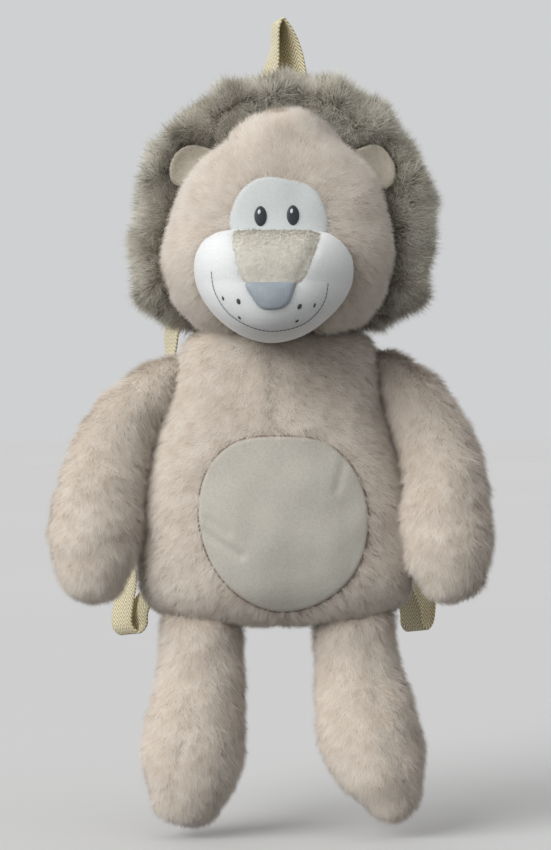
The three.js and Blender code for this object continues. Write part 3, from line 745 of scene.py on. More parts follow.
def groom(obj, row):
    """Combs the pile of a stuffed piece: down and aside, parted at its seams and bare under its covers."""
    places = points_of(obj.data)
    normals = normals_of(obj.data)
    flow = FLOW[row["flow"]]
    aside = places - np.array([flow["middle"][0] * MM, 0, flow["middle"][1] * MM])
    aside[:, 1] = 0
    if row["flow"] == "trunk":
        aside[:, 2] = 0
    aside /= np.maximum(np.linalg.norm(aside, axis=1, keepdims=True), FLOW_NEAR)
    lie = aside * flow["aside"] + DOWN * flow["down"]
    lie += swirls(places, SWIRL_SIZE, row["seed"]) * SWIRL
    height = np.ones(len(places))
    for i, away in beside_seams(row["node"], places, normals, 2 * SEAM_HALF):
        parting = SEAM_PARTING[row["node"]] * (1 - abs(away) / (2 * SEAM_HALF))
        lie[i, 0] += math.copysign(parting, away)
        height[i] = 1 - SEAM_LAID * parting
    lie = laid_flat(lie, normals)
    gap, spots = nearest_of(places, row["covers"])
    onto_cover = np.sum((spots - places) * lie, axis=1) > 0
    bare = np.where(onto_cover, BARE_ABOVE, BARE_BELOW)
    grows = (gap > bare) * np.where(normals[:, 1] > BACK_FACING, BACK_TUFTS, 1.0)
    grows *= ~under(places, normals, row["covers"])
    comb(obj.data, lie, height, grows)


def off_ears(places):
    """How far each place on the front lies outside the nearest ear, and the way out from that ear."""
    least = np.full(len(places), 1.0)
    outward = np.zeros((len(places), 3))
    for line in EAR_OUTLINES.values():
        rim = np.array(line) * MM
        middle = rim.mean(axis=0)
        arms = rim - middle
        gaps = places[:, [0, 2]] - middle
        far = np.hypot(gaps[:, 0], gaps[:, 1])
        reach = np.interp(np.arctan2(gaps[:, 1], gaps[:, 0]), np.arctan2(arms[:, 1], arms[:, 0]),
                          np.hypot(arms[:, 0], arms[:, 1]), period=2 * math.pi)
        nearer = (far - reach < least) & (places[:, 1] < MANE["middle_y"] * MM)
        least[nearer] = (far - reach)[nearer]
        outward[nearer] = np.insert(gaps[nearer] / far[nearer, None], 1, 0, axis=1)
    return least, outward


def mane_band():
    """The mane's backing: its tufts are swollen until they close, smoothed and drawn in again."""
    band = soft_form("mane_cloth", "mane", MANE["voxel"], MANE["softening"])
    closed = MANE["closed"] * MM
    set_points(band.data, points_of(band.data) + normals_of(band.data) * closed)
    remeshed(band, MANE["voxel"], MANE["smoothing"])
    places = points_of(band.data) - normals_of(band.data) * (closed + MANE["inset"] * MM)
    behind_ear = EAR_FORM["y"] + EAR_FORM["thick"] + EAR_FORM["cup"]
    pressed = np.clip(MANE["press"] * (1 - off_ears(places)[0] / EAR_FRAME), 0, 1)
    places[:, 1] += np.maximum(behind_ear - places[:, 1], 0) * pressed
    set_points(band.data, places)
    return band


def groom_mane(band):
    """Combs the mane: ruffled and outward, away from the ears, and inward over the brow."""
    plan = MANE_LIE
    places = points_of(band.data)
    lie = swirls(places, plan["ruffle"] * MM, 0)
    out = places - np.array([plan["middle"][0] * MM, 0, plan["middle"][1] * MM])
    out[:, 1] = 0
    out /= np.linalg.norm(out, axis=1, keepdims=True)
    lie = lie * plan["ruffled"] + out * plan["outward"] + np.array(plan["drift"])
    off_ear, from_ear = off_ears(places)
    beside = np.clip(1 - off_ear / EAR_FRAME, 0, 1)[:, None]
    lie = lie * (1 - beside) + from_ear * plan["off_ear"] * beside
    clear = gap_to(places, ("head", "trunk"))
    height = np.clip(clear / (plan["full_at"] * MM), plan["lowest"], 1.0)
    brow = (out[:, 2] > FRINGE["above"]) & (places[:, 1] < FRINGE["ahead"] * MM)
    fringe = brow & (clear < FRINGE["near"] * MM) & (off_ear > EAR_FRAME)
    lie[fringe] = AHEAD - out[fringe] * FRINGE["inward"]
    height[fringe] = FRINGE["height"]
    grows = (clear > plan["bare"] * MM) & (off_ear > MANE["ear_clear"] * MM)
    comb(band.data, laid_flat(lie, normals_of(band.data)), height, grows.astype(float))


def tuft_set(name, plan, long, wide):
    """A few tufts of flat strands, leaning along +X, each in its own object of one collection."""
    dice = random.Random(plan["seed"])
    tufts = bpy.data.collections.new(name)
    upright = Vector((0, 0, plan["even"]))
    for index in range(plan["kinds"]):
        points, along = [], []
        for _ in range(plan["strands"]):
            turn = dice.uniform(0, 2 * math.pi)
            out = plan["root"] * MM * math.sqrt(dice.random())
            inward = Vector((math.cos(turn), math.sin(turn), 0)) * -out
            heading = plan["spread"] * dice.uniform(-1, 1)
            tall = long * dice.uniform(SHORTEST, 1.0)
            roll = plan["roll"] * dice.uniform(-1, 1)
            yaw = heading + plan["bow"] * dice.uniform(-1, 1)
            tilt = math.radians(plan["lean"] + plan["nudge"] * dice.uniform(-1, 1))
            foot = Vector((0, 0, -plan["sunk"] * MM)) - inward
            rise = Vector((math.sin(tilt) * math.cos(yaw), math.sin(tilt) * math.sin(yaw), math.cos(tilt)))
            half = Vector((-math.sin(heading), math.cos(heading), math.sin(roll))).normalized() * wide / 2
            points += [foot + half, foot - half, foot + rise * tall + inward * plan["gather"]]
            along += [0.0, 0.0, 1.0]
        faces = [(k, k + 1, k + 2) for k in range(0, len(points), 3)]
        mesh = bpy.data.meshes.new(f"{name}_{index}")
        mesh.from_pydata([tuple(p) for p in points], [], faces)
        store(mesh, "along", "FLOAT", along)
        mesh.polygons.foreach_set("use_smooth", [True] * len(mesh.polygons))
        mesh.update()
        evened = [tuple((v.normal + upright).normalized()) for v in mesh.vertices]
        mesh.normals_split_custom_set_from_vertices(evened)
        tufts.objects.link(bpy.data.objects.new(f"{name}_{index}", mesh))
    return tufts


def clear_tufts(tufts):
    """Removes the pattern tufts once all pile has grown."""
    for obj in list(tufts.objects):
        bpy.data.meshes.remove(obj.data)
    bpy.data.collections.remove(tufts)


def pile_tree():
    """Grows tufts on a groomed cloth: they follow its lie and height, with some parting between them."""
    tree, given = open_tree("Pile", [
        ("Cloth", "Geometry"), ("Tufts", "Collection"), ("Tufts per square metre", "Float"),
        ("Parting", "Float"), ("Shade patch", "Float"), ("Seed", "Int"), ("Finish", "Material")], "Pile")
    grows = put(tree, "GeometryNodeInputNamedAttribute", {"Name": "grows"}, data_type="FLOAT")
    density = put(tree, "ShaderNodeMath", {0: grows.outputs[0], 1: given["Tufts per square metre"]},
                  operation="MULTIPLY")
    spots = put(tree, "GeometryNodeDistributePointsOnFaces",
                {"Mesh": given["Cloth"], "Density": density.outputs[0], "Seed": given["Seed"]})
    patch = put(tree, "ShaderNodeTexNoise", {"Scale": given["Shade patch"], "Detail": 2.0})
    dice = put(tree, "FunctionNodeRandomValue", {2: 0.0, 3: 1.0, "Seed": given["Seed"]})
    shade = put(tree, "ShaderNodeMix", {0: 0.5, 2: patch.outputs[0], 3: dice.outputs[1]})
    shaded = put(tree, "GeometryNodeStoreNamedAttribute",
                 {"Geometry": spots.outputs["Points"], "Name": "shade", "Value": shade.outputs[0]},
                 data_type="FLOAT", domain="POINT")
    lie = put(tree, "GeometryNodeInputNamedAttribute", {"Name": "lie"}, data_type="FLOAT_VECTOR")
    upright = put(tree, "FunctionNodeAlignRotationToVector", {"Vector": spots.outputs["Normal"]}, axis="Z")
    combed = put(tree, "FunctionNodeAlignRotationToVector",
                 {"Rotation": upright.outputs[0], "Vector": lie.outputs[0]}, axis="X", pivot_axis="Z")
    low = put(tree, "ShaderNodeMath", {0: given["Parting"], 1: -1.0}, operation="MULTIPLY")
    turn = put(tree, "FunctionNodeRandomValue",
               {2: low.outputs[0], 3: given["Parting"], "Seed": PARTING_SEED})
    about = put(tree, "FunctionNodeAxisAngleToRotation", {"Axis": (0, 0, 1), "Angle": turn.outputs[1]})
    parted = put(tree, "FunctionNodeRotateRotation",
                 {"Rotation": combed.outputs[0], "Rotate By": about.outputs[0]}, rotation_space="LOCAL")
    height = put(tree, "GeometryNodeInputNamedAttribute", {"Name": "height"}, data_type="FLOAT")
    vary = put(tree, "FunctionNodeRandomValue", {2: TUFT_SIZES[0], 3: TUFT_SIZES[1], "Seed": SIZE_SEED})
    size = put(tree, "ShaderNodeMath", {0: height.outputs[0], 1: vary.outputs[1]}, operation="MULTIPLY")
    kinds = put(tree, "GeometryNodeCollectionInfo",
                {"Collection": given["Tufts"], "Separate Children": True, "Reset Children": True})
    grown = put(tree, "GeometryNodeInstanceOnPoints",
                {"Points": shaded.outputs[0], "Instance": kinds.outputs[0], "Pick Instance": True,
                 "Rotation": parted.outputs[0], "Scale": size.outputs[0]})
    return close_tree(tree, "Pile", grown.outputs[0], given["Finish"])


def grow_pile(name, cloth, plan, values):
    """Grows the pile of a cloth as its own mesh. Its bake map runs over the strands' shade and height."""
    made = linked(bpy.data.objects.new(name, cloth.data.copy()))
    tree = bpy.data.node_groups.get("Pile") or pile_tree()
    run_tree(made, tree, {"Parting": plan["parting"], "Shade patch": 1 / (plan["patch"] * MM), **values})
    mesh = made.data
    drop_stored(mesh, ("lie", "height", "grows"))
    spots = np.stack([stored(mesh, "shade"), stored(mesh, "along")], axis=1)
    add_map(mesh, "OFBake", np.clip(spots, *BAKE_RANGE))
    made.visible_shadow = False
    return made


def short_pile(name, cloth, strand, plan):
    """Grows a short dense pile on the front of a small cloth."""
    mesh = cloth.data
    count = len(mesh.vertices)
    comb(mesh, [SHORT_LIE] * count, [1.0] * count, (normals_of(mesh)[:, 1] < -BACK_FACING).astype(float))
    tufts = tuft_set(f"{name}_tuft", PILES["short"], plan["long"], SHORT_WIDE)
    grown = grow_pile(name, cloth, PILES["short"], {
        "Tufts": tufts, "Tufts per square metre": SHORT_TUFTS, "Seed": plan["seed"], "Finish": strand})
    clear_tufts(tufts)
    return grown


# Materials


def cloth_material(name, **shader_inputs):
    """A new material with one Principled shader; returns the material, its tree and the shader."""
    material = bpy.data.materials.new(name)
    material.use_nodes = True
    tree = material.node_tree
    shader = tree.nodes["Principled BSDF"]
    for key, value in shader_inputs.items():
        shader.inputs[key.replace("_", " ")].default_value = value
    return material, tree, shader


def pile_material(name, root, tip, dim, sheen):
    """Polyester pile: matt strands, darker with painted shade where they stand close at the backing, lighter
    at their ends.
    """
    material, tree, shader = cloth_material(name, Roughness=0.85, Sheen_Weight=sheen, Sheen_Roughness=0.5,
                                            Specular_IOR_Level=0.25)
    along = put(tree, "ShaderNodeAttribute", attribute_name="along")
    shade = put(tree, "ShaderNodeAttribute", attribute_name="shade")
    # Painted shade: each strand runs from the shaded root colour at its backing up to the tip colour.
    strand = put(tree, "ShaderNodeValToRGB", {"Fac": along.outputs["Fac"]}, stops=[(0.05, root), (0.8, tip)])
    patchy = put(tree, "ShaderNodeValToRGB", {"Fac": shade.outputs["Fac"]},
                 stops=[(0.2, dim), (0.75, linear("FFFFFF"))])
    dyed = put(tree, "ShaderNodeMix", {0: 1.0, 6: strand.outputs[0], 7: patchy.outputs[0]},
               data_type="RGBA", blend_type="MULTIPLY")
    tree.links.new(dyed.outputs[2], shader.inputs["Base Color"])
    return material


def backing_material(name, dye):
    """Knitted backing: matt loops about a millimetre wide, seen only between strands, with painted shade
    darkening each loop towards its edge.
    """
    material, tree, shader = cloth_material(name, Roughness=0.95, Specular_IOR_Level=0.15)
    place = put(tree, "ShaderNodeTexCoord")
    loops = put(tree, "ShaderNodeTexVoronoi", {"Vector": place.outputs["Object"], "Scale": 1 / (1.2 * MM)})
    # Painted shade between the loops: each loop darkens towards its edge down to 0.6 of the dye.
    tone = put(tree, "ShaderNodeValToRGB", {"Fac": loops.outputs["Distance"]},
               stops=[(0.0, dye), (1.0, toned(dye, 0.6))])
    tree.links.new(tone.outputs[0], shader.inputs["Base Color"])
    relief = put(tree, "ShaderNodeBump",
                 {"Strength": 0.4, "Distance": 0.4 * MM, "Height": loops.outputs["Distance"]})
    tree.links.new(relief.outputs[0], shader.inputs["Normal"])
    return material


def velour_material(name, dye, nap, seam=None, mottle=0.9, glow=0.0):
    """Velour: a short nap with faint clouds where it has been brushed, and a darker rim at the seam."""
    material, tree, shader = cloth_material(
        name, Roughness=0.9, Sheen_Weight=0.35, Sheen_Roughness=0.4, Specular_IOR_Level=0.2,
        Subsurface_Weight=glow, Subsurface_Radius=(1.0, 1.0, 1.0), Subsurface_Scale=16 * MM)
    place = put(tree, "ShaderNodeTexCoord")
    fine = put(tree, "ShaderNodeTexNoise",
               {"Vector": place.outputs["Object"], "Scale": 1 / (nap * MM), "Detail": 3.0, "Roughness": 0.7})
    cloud = put(tree, "ShaderNodeTexNoise",
                {"Vector": place.outputs["Object"], "Scale": 1 / (16 * MM), "Detail": 2.0})
    both = put(tree, "ShaderNodeMix", {0: 0.25, 2: fine.outputs[0], 3: cloud.outputs[0]})
    tone = put(tree, "ShaderNodeValToRGB", {"Fac": both.outputs[0]},
               stops=[(0.36, toned(dye, mottle * 0.9)), (0.6, dye)])
    colour_out = tone.outputs[0]
    if seam is not None:
        rim = put(tree, "ShaderNodeAttribute", attribute_name="rim")
        edge = put(tree, "ShaderNodeMapRange", {"Value": rim.outputs["Fac"], 1: 0.972, 2: 1.0})
        mixed = put(tree, "ShaderNodeMix", {0: edge.outputs[0], 6: colour_out, 7: seam}, data_type="RGBA")
        colour_out = mixed.outputs[2]
    tree.links.new(colour_out, shader.inputs["Base Color"])
    relief = put(tree, "ShaderNodeBump",
                 {"Strength": 0.35, "Distance": 0.35 * MM, "Height": fine.outputs[0]})
    tree.links.new(relief.outputs[0], shader.inputs["Normal"])
    return material


def satin_material(name, dye, pitch, upright):
    """Satin stitch: shiny threads laid side by side, drawn at twice their real width so that they show, with
    painted sheen along each thread and painted shade between threads.
    """
    material, tree, shader = cloth_material(name, Roughness=0.45, Sheen_Weight=0.3)
    place = put(tree, "ShaderNodeTexCoord")
    waver = put(tree, "ShaderNodeTexNoise", {"Vector": place.outputs["Object"], "Scale": 1 / (5 * MM)})
    threads = put(tree, "ShaderNodeTexWave",
                  {"Vector": place.outputs["Object"], "Scale": 0.314 / (pitch * MM), "Distortion": 1.2,
                   "Detail": 1.0, "Detail Scale": 1.5},
                  wave_type="BANDS", bands_direction="X" if upright else "Z")
    blend = put(tree, "ShaderNodeMix", {0: 0.6, 2: threads.outputs["Fac"], 3: waver.outputs[0]})
    # Painted sheen and shade: the thread bands run from 0.84 to 1.12 of the dye, mixed with a random waver
    # of tone.
    tone = put(tree, "ShaderNodeValToRGB", {"Fac": blend.outputs[0]},
               stops=[(0.2, toned(dye, 0.84)), (0.8, toned(dye, 1.12))])
    tree.links.new(tone.outputs[0], shader.inputs["Base Color"])
    relief = put(tree, "ShaderNodeBump",
                 {"Strength": 0.3, "Distance": 0.2 * MM, "Height": threads.outputs["Fac"]})
    tree.links.new(relief.outputs[0], shader.inputs["Normal"])
    return material


def clouded_material(name, dye, size, share, stops, **shader_inputs):
    """A plain material, clouded at a size in millimetres down to a share of its dye's brightness."""
    material, tree, shader = cloth_material(name, **shader_inputs)
    place = put(tree, "ShaderNodeTexCoord")
    cloud = put(tree, "ShaderNodeTexNoise", {"Vector": place.outputs["Object"], "Scale": 1 / (size * MM)})
    tone = put(tree, "ShaderNodeValToRGB", {"Fac": cloud.outputs[0]},
               stops=[(stops[0], toned(dye, share)), (stops[1], dye)])
    tree.links.new(tone.outputs[0], shader.inputs["Base Color"])
    return material


def thread_material(name, dye):
    """Sewing thread: twisted polyester with a slight shine."""
    return clouded_material(name, dye, 0.8, 0.7, (0.35, 0.65), Roughness=0.55, Sheen_Weight=0.2)


def nylon_material(name, dye):
    """Moulded nylon: a smooth surface with faint flow marks."""
    return clouded_material(name, dye, 3, 0.85, (0.4, 0.6), Roughness=0.4, IOR=1.53)


def paper_material(name, dye):
    """Matt studio paper with barely visible clouds, more than a metre wide."""
    return clouded_material(name, dye, 1250, 0.985, (0.35, 0.65), Roughness=1.0, Specular_IOR_Level=0.0)


def webbing_material(name, light, dark):
    """Polypropylene webbing in herringbone weave: slightly glossy ridges that turn every few millimetres,
    with painted shade in the grooves between them.
    """
    material, tree, shader = cloth_material(name, Roughness=0.6, Sheen_Weight=0.15)
    weave = put(tree, "ShaderNodeUVMap", uv_map="weave")
    parts = put(tree, "ShaderNodeSeparateXYZ", {0: weave.outputs[0]})
    columns = put(tree, "ShaderNodeMath", {0: parts.outputs["X"], 1: WEAVE["column"] * MM},
                  operation="DIVIDE")
    zigzag = put(tree, "ShaderNodeMath", {0: columns.outputs[0], 1: 1.0}, operation="PINGPONG")
    rise = put(tree, "ShaderNodeMath", {0: zigzag.outputs[0], 1: WEAVE["column"]}, operation="MULTIPLY")
    rows = put(tree, "ShaderNodeMath", {0: parts.outputs["Y"], 1: 1 / MM}, operation="MULTIPLY")
    phase = put(tree, "ShaderNodeMath", {0: rise.outputs[0], 1: rows.outputs[0]}, operation="ADD")
    waves = put(tree, "ShaderNodeMath", {0: phase.outputs[0], 1: 2 * math.pi / WEAVE["ridge"]},
                operation="MULTIPLY")
    ridge = put(tree, "ShaderNodeMath", {0: waves.outputs[0]}, operation="SINE")
    level = put(tree, "ShaderNodeMapRange", {"Value": ridge.outputs[0], 1: -1.0, 2: 1.0})
    # Painted shade: the grooves take the dark colour and the ridges take the light one.
    tone = put(tree, "ShaderNodeValToRGB", {"Fac": level.outputs[0]}, stops=[(0.25, dark), (0.7, light)])
    tree.links.new(tone.outputs[0], shader.inputs["Base Color"])
    relief = put(tree, "ShaderNodeBump", {"Strength": 0.7, "Distance": 0.5 * MM, "Height": level.outputs[0]})
    tree.links.new(relief.outputs[0], shader.inputs["Normal"])
    return material


# Cloth laid on a form


def outline_of(node, plan):
    """The front outline of a CAD node, as points at even angles round its middle."""
    flat = [Vector((v.co.x, v.co.z)) for v in frame["nodes"][node].data.vertices]
    hull = [flat[i] for i in convex_hull_2d(flat)]
    middle = (Vector(map(min, zip(*hull))) + Vector(map(max, zip(*hull)))) / 2
    count = plan["count"]
    turns = [2 * math.pi * k / count for k in range(count)]
    rays = [Vector((math.cos(a), math.sin(a))) for a in turns]
    reach = []
    for ray in rays:
        best = 0.0
        for p, q in zip(hull, hull[1:] + hull[:1]):
            edge = q - p
            cross = ray.x * edge.y - ray.y * edge.x
            if abs(cross) < TINY * TINY:
                continue
            off = p - middle
            far = (off.x * edge.y - off.y * edge.x) / cross
            share = (off.x * ray.y - off.y * ray.x) / cross
            if far > 0 and -TINY <= share <= 1 + TINY:
                best = max(best, far)
        reach.append(best + plan["grow"] * MM)
    for _ in range(plan["rounds"]):
        reach = [(reach[k - 1] + 2 * reach[k] + reach[(k + 1) % count]) / 4 for k in range(count)]
    return middle, [middle + ray * far for ray, far in zip(rays, reach)]


def crease_depth(x, z, creases):
    """How deep some creases, each given by its two ends, are at a place."""
    deep = 0.0
    spot = Vector((x, z))
    for row in creases:
        a, b = Vector(row["from"]) * MM, Vector(row["to"]) * MM
        share = min(max((spot - a).dot(b - a) / (b - a).length_squared, 0), 1)
        away = (spot - a - (b - a) * share).length / CREASE_HALF
        deep += row["deep"] * MM * math.exp(-away * away)
    return deep


def laid_cloth(name, middle, outline, base, plan, creases=()):
    """A cloth that lies on a base form, crowned over its middle and drawn in at its sewn rim."""
    rings = plan["rings"]
    count = len(outline)
    points, rim, faces = [], [], []

    def place(spot, lift):
        point, normal = front_hit(base, spot.x, spot.y)
        return point + normal * (lift * MM - crease_depth(spot.x, spot.y, creases))

    points.append(place(middle, plan["lift"] + plan["crown"]))
    rim.append(0.0)
    for r in range(1, rings + 1):
        f = r / rings
        lift = plan["lift"] + plan["crown"] * (1 - f * f)
        if r == rings:
            lift = -plan["tuck"]
        points += [place(middle + (p - middle) * f, lift) for p in outline]
        rim += [f] * count
    for k in range(count):
        nxt = (k + 1) % count
        faces.append((0, 1 + k, 1 + nxt))
        for r in range(rings - 1):
            a = 1 + r * count
            faces.append((a + k, a + count + k, a + count + nxt, a + nxt))
    made = mesh_object(name, points, faces)
    store(made.data, "rim", "FLOAT", rim)
    face_outward(made, to_front=True)
    with_modifier(made, "SOLIDIFY", thickness=plan["thick"] * MM, offset=-1.0)
    smooth_faces(made)
    return made


def lobe(name, outline, plan):
    """A closed cupped lobe with a rounded rim, from its outline seen from the front."""
    count = len(outline)
    rings = plan["rings"]
    middle = sum(outline, Vector((0, 0))) / count

    def ring(step, side):
        f = math.sin(math.pi / 2 * step / rings)
        y = plan["y"] + plan["cup"] * (1 - f * f) + side * plan["thick"] / 2 * math.sqrt(1 - f ** 6)
        spots = [middle + (p - middle) * f for p in outline]
        return [Vector((spot.x, y, spot.y)) for spot in spots]

    front = [ring(step, -1) for step in range(1, rings + 1)]
    back = [ring(step, 1) for step in range(rings - 1, 0, -1)]
    points = [p for row in front + back for p in row]
    ends = [ring(0, -1)[0], ring(0, 1)[0]]
    first, last = len(points), len(points) + 1
    faces = []
    rows = len(front + back)
    for k in range(count):
        nxt = (k + 1) % count
        faces.append((first, nxt, k))
        for r in range(rows - 1):
            faces.append((r * count + k, r * count + nxt, (r + 1) * count + nxt, (r + 1) * count + k))
        faces.append((last, (rows - 1) * count + k, (rows - 1) * count + nxt))
    made = mesh_object(name, points + ends, faces)
    face_outward(made)
    smooth_faces(made)
    return made


# Stitches


def stitch_tree():
    """Sets one rounded stitch at each point, along its run, standing on its rise, at its size."""
    tree, given = open_tree("Stitches", [("Places", "Geometry"), ("Finish", "Material")], "Stitches")
    run = put(tree, "GeometryNodeInputNamedAttribute", {"Name": "run"}, data_type="FLOAT_VECTOR")
    rise = put(tree, "GeometryNodeInputNamedAttribute", {"Name": "rise"}, data_type="FLOAT_VECTOR")
    size = put(tree, "GeometryNodeInputNamedAttribute", {"Name": "size"}, data_type="FLOAT_VECTOR")
    upright = put(tree, "FunctionNodeAlignRotationToVector", {"Vector": rise.outputs[0]}, axis="Z")
    along = put(tree, "FunctionNodeAlignRotationToVector",
                {"Rotation": upright.outputs[0], "Vector": run.outputs[0]}, axis="X", pivot_axis="Z")
    bead = put(tree, "GeometryNodeMeshUVSphere", {"Segments": 10, "Rings": 6, "Radius": 0.5})
    soft = put(tree, "GeometryNodeSetShadeSmooth", {"Geometry": bead.outputs[0]})
    sewn = put(tree, "GeometryNodeInstanceOnPoints",
               {"Points": given["Places"], "Instance": soft.outputs[0], "Rotation": along.outputs[0],
                "Scale": size.outputs[0]})
    return close_tree(tree, "Stitches", sewn.outputs[0], given["Finish"])


def sew(name, stitches, finish):
    """Makes stitches, each given as its place, run, rise and size in millimetres."""
    places, runs, rises, sizes = zip(*stitches)
    made = mesh_object(name, places, [])
    store(made.data, "run", "FLOAT_VECTOR", runs)
    store(made.data, "rise", "FLOAT_VECTOR", rises)
    store(made.data, "size", "FLOAT_VECTOR", np.array(sizes) * MM)
    run_tree(made, bpy.data.node_groups.get("Stitches") or stitch_tree(), {"Finish": finish})
    drop_stored(made.data, ("run", "rise", "size"))
    return made


def stitched_line(line, base, plan):
    """Stitches at even steps along a line on the front of a base form."""
    stitches = []
    for spot, run in spaced(line, plan["step"] * MM):
        point, normal = front_hit(base, spot.x, spot.y)
        place = point + normal * plan["lift"] * MM
        stitches.append((place, Vector((run.x, 0, run.y)), normal, plan["size"]))
    return stitches


def spaced(line, step):
    """Points at even steps along a line of 2-D points, with the direction at each."""
    found = []
    carry = 0.0
    for p, q in zip(line, line[1:]):
        leg = (q - p).length
        at = carry
        while at < leg:
            found.append((p + (q - p) * (at / leg), (q - p).normalized()))
            at += step
        carry = at - leg
    return found


def smooth_run(knots, steps):
    """Points run smoothly through some knots."""
    found = []
    for i in range(len(knots) - 1):
        a, b, c, d = (knots[min(max(k, 0), len(knots) - 1)] for k in (i - 1, i, i + 1, i + 2))
        found += [between(a, b, c, d, k / steps) for k in range(steps)]
    return found + [knots[-1]]


def between(a, b, c, d, f):
    """A point of a smooth curve through b and c, with a before and d after them."""
    slope_in, slope_out = (c - a) / 2, (d - b) / 2
    cubic = 2 * b - 2 * c + slope_in + slope_out
    square = -3 * b + 3 * c - 2 * slope_in - slope_out
    return cubic * f ** 3 + square * f ** 2 + slope_in * f + b


def smooth_line(line, steps, closed=False):
    """A line of (x, z) landmarks in millimetres, run smoothly and in metres."""
    knots = [Vector(p) for p in (line + line[:1] if closed else line)]
    found = [p * MM for p in smooth_run(knots, steps)]
    return found[:-1] if closed else found


# Webbing


def webbing_section():
    """The section of a strip of webbing, as shares of its width and thickness."""
    flat = WEBBING_EDGE[-1][0]
    top = WEBBING_EDGE + [(flat - 2 * flat * k / WEBBING_STEPS, 0.5) for k in range(1, WEBBING_STEPS)]
    top = top + [(-w, t) for w, t in reversed(WEBBING_EDGE)]
    return top + [(w, -t) for w, t in reversed(top[1:-1])]


def ribbon(name, route, base, wide, thick):
    """A strip of webbing along its route, with rounded edges and a weave map in metres."""
    path = smooth_run([np.array(row, float) for row in route], ROUTE_STEPS)
    centres = [Vector(row[:3]) * MM for row in path]

    def buried(place):
        near, normal, _, _ = base.find_nearest(place)
        return (place - near).dot(normal) < -BURIED

    first, last = 0, len(centres) - 1
    while buried(centres[first]):
        first += 1
    while buried(centres[last]):
        last -= 1
    section = webbing_section()
    points, weave = [], []
    run = 0.0
    for i in range(first, last + 1):
        before, after = centres[max(i - 1, 0)], centres[min(i + 1, len(centres) - 1)]
        along = (after - before).normalized()
        turn = math.radians(path[i][3])
        across = Vector((math.sin(turn), math.cos(turn), path[i][4])).normalized()
        up = along.cross(across).normalized()
        if i > first:
            run += (centres[i] - centres[i - 1]).length
        points += [centres[i] + across * (w * wide) + up * (t * thick) for w, t in section]
        weave += [((w + 0.5) * wide, run) for w, t in section]
    sides = len(section)
    rings = last - first + 1
    faces = []
    for r in range(rings - 1):
        low, high = r * sides, (r + 1) * sides
        faces += [(low + k, low + (k + 1) % sides, high + (k + 1) % sides, high + k) for k in range(sides)]
    faces.append(tuple(range(sides)))
    faces.append(tuple(reversed(range((rings - 1) * sides, rings * sides))))
    made = mesh_object(name, points, faces)
    add_map(made.data, "weave", weave)
    face_outward(made)
    smooth_faces(made)
    return made


# Stage


def studio_paper(finish):
    """A wide round sheet of paper just below the part."""
    low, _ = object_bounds()
    sides = PAPER["sides"]
    centre = Vector((0, 0, low.z - PAPER["below"]))
    turns = [2 * math.pi * k / sides for k in range(sides)]
    rim = [centre + Vector((math.cos(a), math.sin(a), 0)) * PAPER["reach"] for a in turns]
    faces = [(0, 1 + k, 1 + (k + 1) % sides) for k in range(sides)]
    paper = mesh_object("studio_paper", [centre] + rim, faces)
    smooth_faces(paper)
    paper.data.materials.append(finish)
    paper.visible_diffuse = False
    paper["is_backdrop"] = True


def studio_sky(from_below, from_above, backdrop):
    """Soft light that is stronger from above, with an even backdrop behind it."""
    world = bpy.data.worlds.new("Even studio light")
    world.use_nodes = True
    sky = world.node_tree
    even = sky.nodes["Background"]
    even.inputs["Color"].default_value = (1.0, 1.0, 1.0, 1.0)
    heading = put(sky, "ShaderNodeTexCoord")
    parts = put(sky, "ShaderNodeSeparateXYZ", {0: heading.outputs["Generated"]})
    strength = put(sky, "ShaderNodeMapRange",
                   {"Value": parts.outputs["Z"], 1: -1.0, 2: 1.0, 3: from_below, 4: from_above})
    sky.links.new(strength.outputs[0], even.inputs["Strength"])
    seen = put(sky, "ShaderNodeBackground", {"Color": backdrop})
    path = put(sky, "ShaderNodeLightPath")
    both = put(sky, "ShaderNodeMixShader",
               {0: path.outputs["Is Camera Ray"], 1: even.outputs[0], 2: seen.outputs[0]})
    sky.links.new(both.outputs[0], sky.nodes["World Output"].inputs["Surface"])
    return world


def broad_light(name, strength, stands):
    """A broad, soft light from one side."""
    data = bpy.data.lights.new(name, "SUN")
    data.energy = strength
    data.angle = LIGHT_SPREAD
    lamp = linked(bpy.data.objects.new(name, data))
    lamp.rotation_euler = (-Vector(stands)).to_track_quat("-Z", "Y").to_euler()


# Operators


class PLUSHPACK_OT_body(bpy.types.Operator):
    """Trunk, head, arms and legs: stuffed backing with beige pile."""

    bl_idname = "plush_pack.body"
    bl_label = "Stuffed body"

    def execute(self, context):
        pile = context.scene.plush_pile
        # Root colour with painted shade, for the strands' roots and for the backing.
        root = tuple(pile.body_root_shade)
        strand = pile_material("Beige polyester pile", root, tuple(pile.body_tip), tuple(pile.body_dim), 0.3)
        backing = backing_material("Beige knitted backing", root)
        tufts = tuft_set("body_tuft", PILES["body"], pile.body_long, pile.body_wide)
        for row in FURRED:
            node = row["node"]
            cloth = soft_form(f"{node}_cloth", node, row["voxel"], SOFTENING, hollow=node == "trunk")
            stuff(cloth, row["cap"], gap_to(points_of(cloth.data), row["sewn_to"]) < HELD)
            lump(cloth, row["seed"], FLOW[row["flow"]])
            press_seams(cloth, node)
            if node == "head":
                round_crown(cloth)
            groom(cloth, row)
            smooth_faces(cloth)
            grown = grow_pile(f"{node}_pile", cloth, PILES["body"], {
                "Tufts": tufts, "Tufts per square metre": pile.body_tufts * row["tufts"],
                "Seed": row["seed"], "Finish": strand})
            finish_piece(cloth, [node], backing)
            finish_piece(grown, [node])
        clear_tufts(tufts)
        return {"FINISHED"}


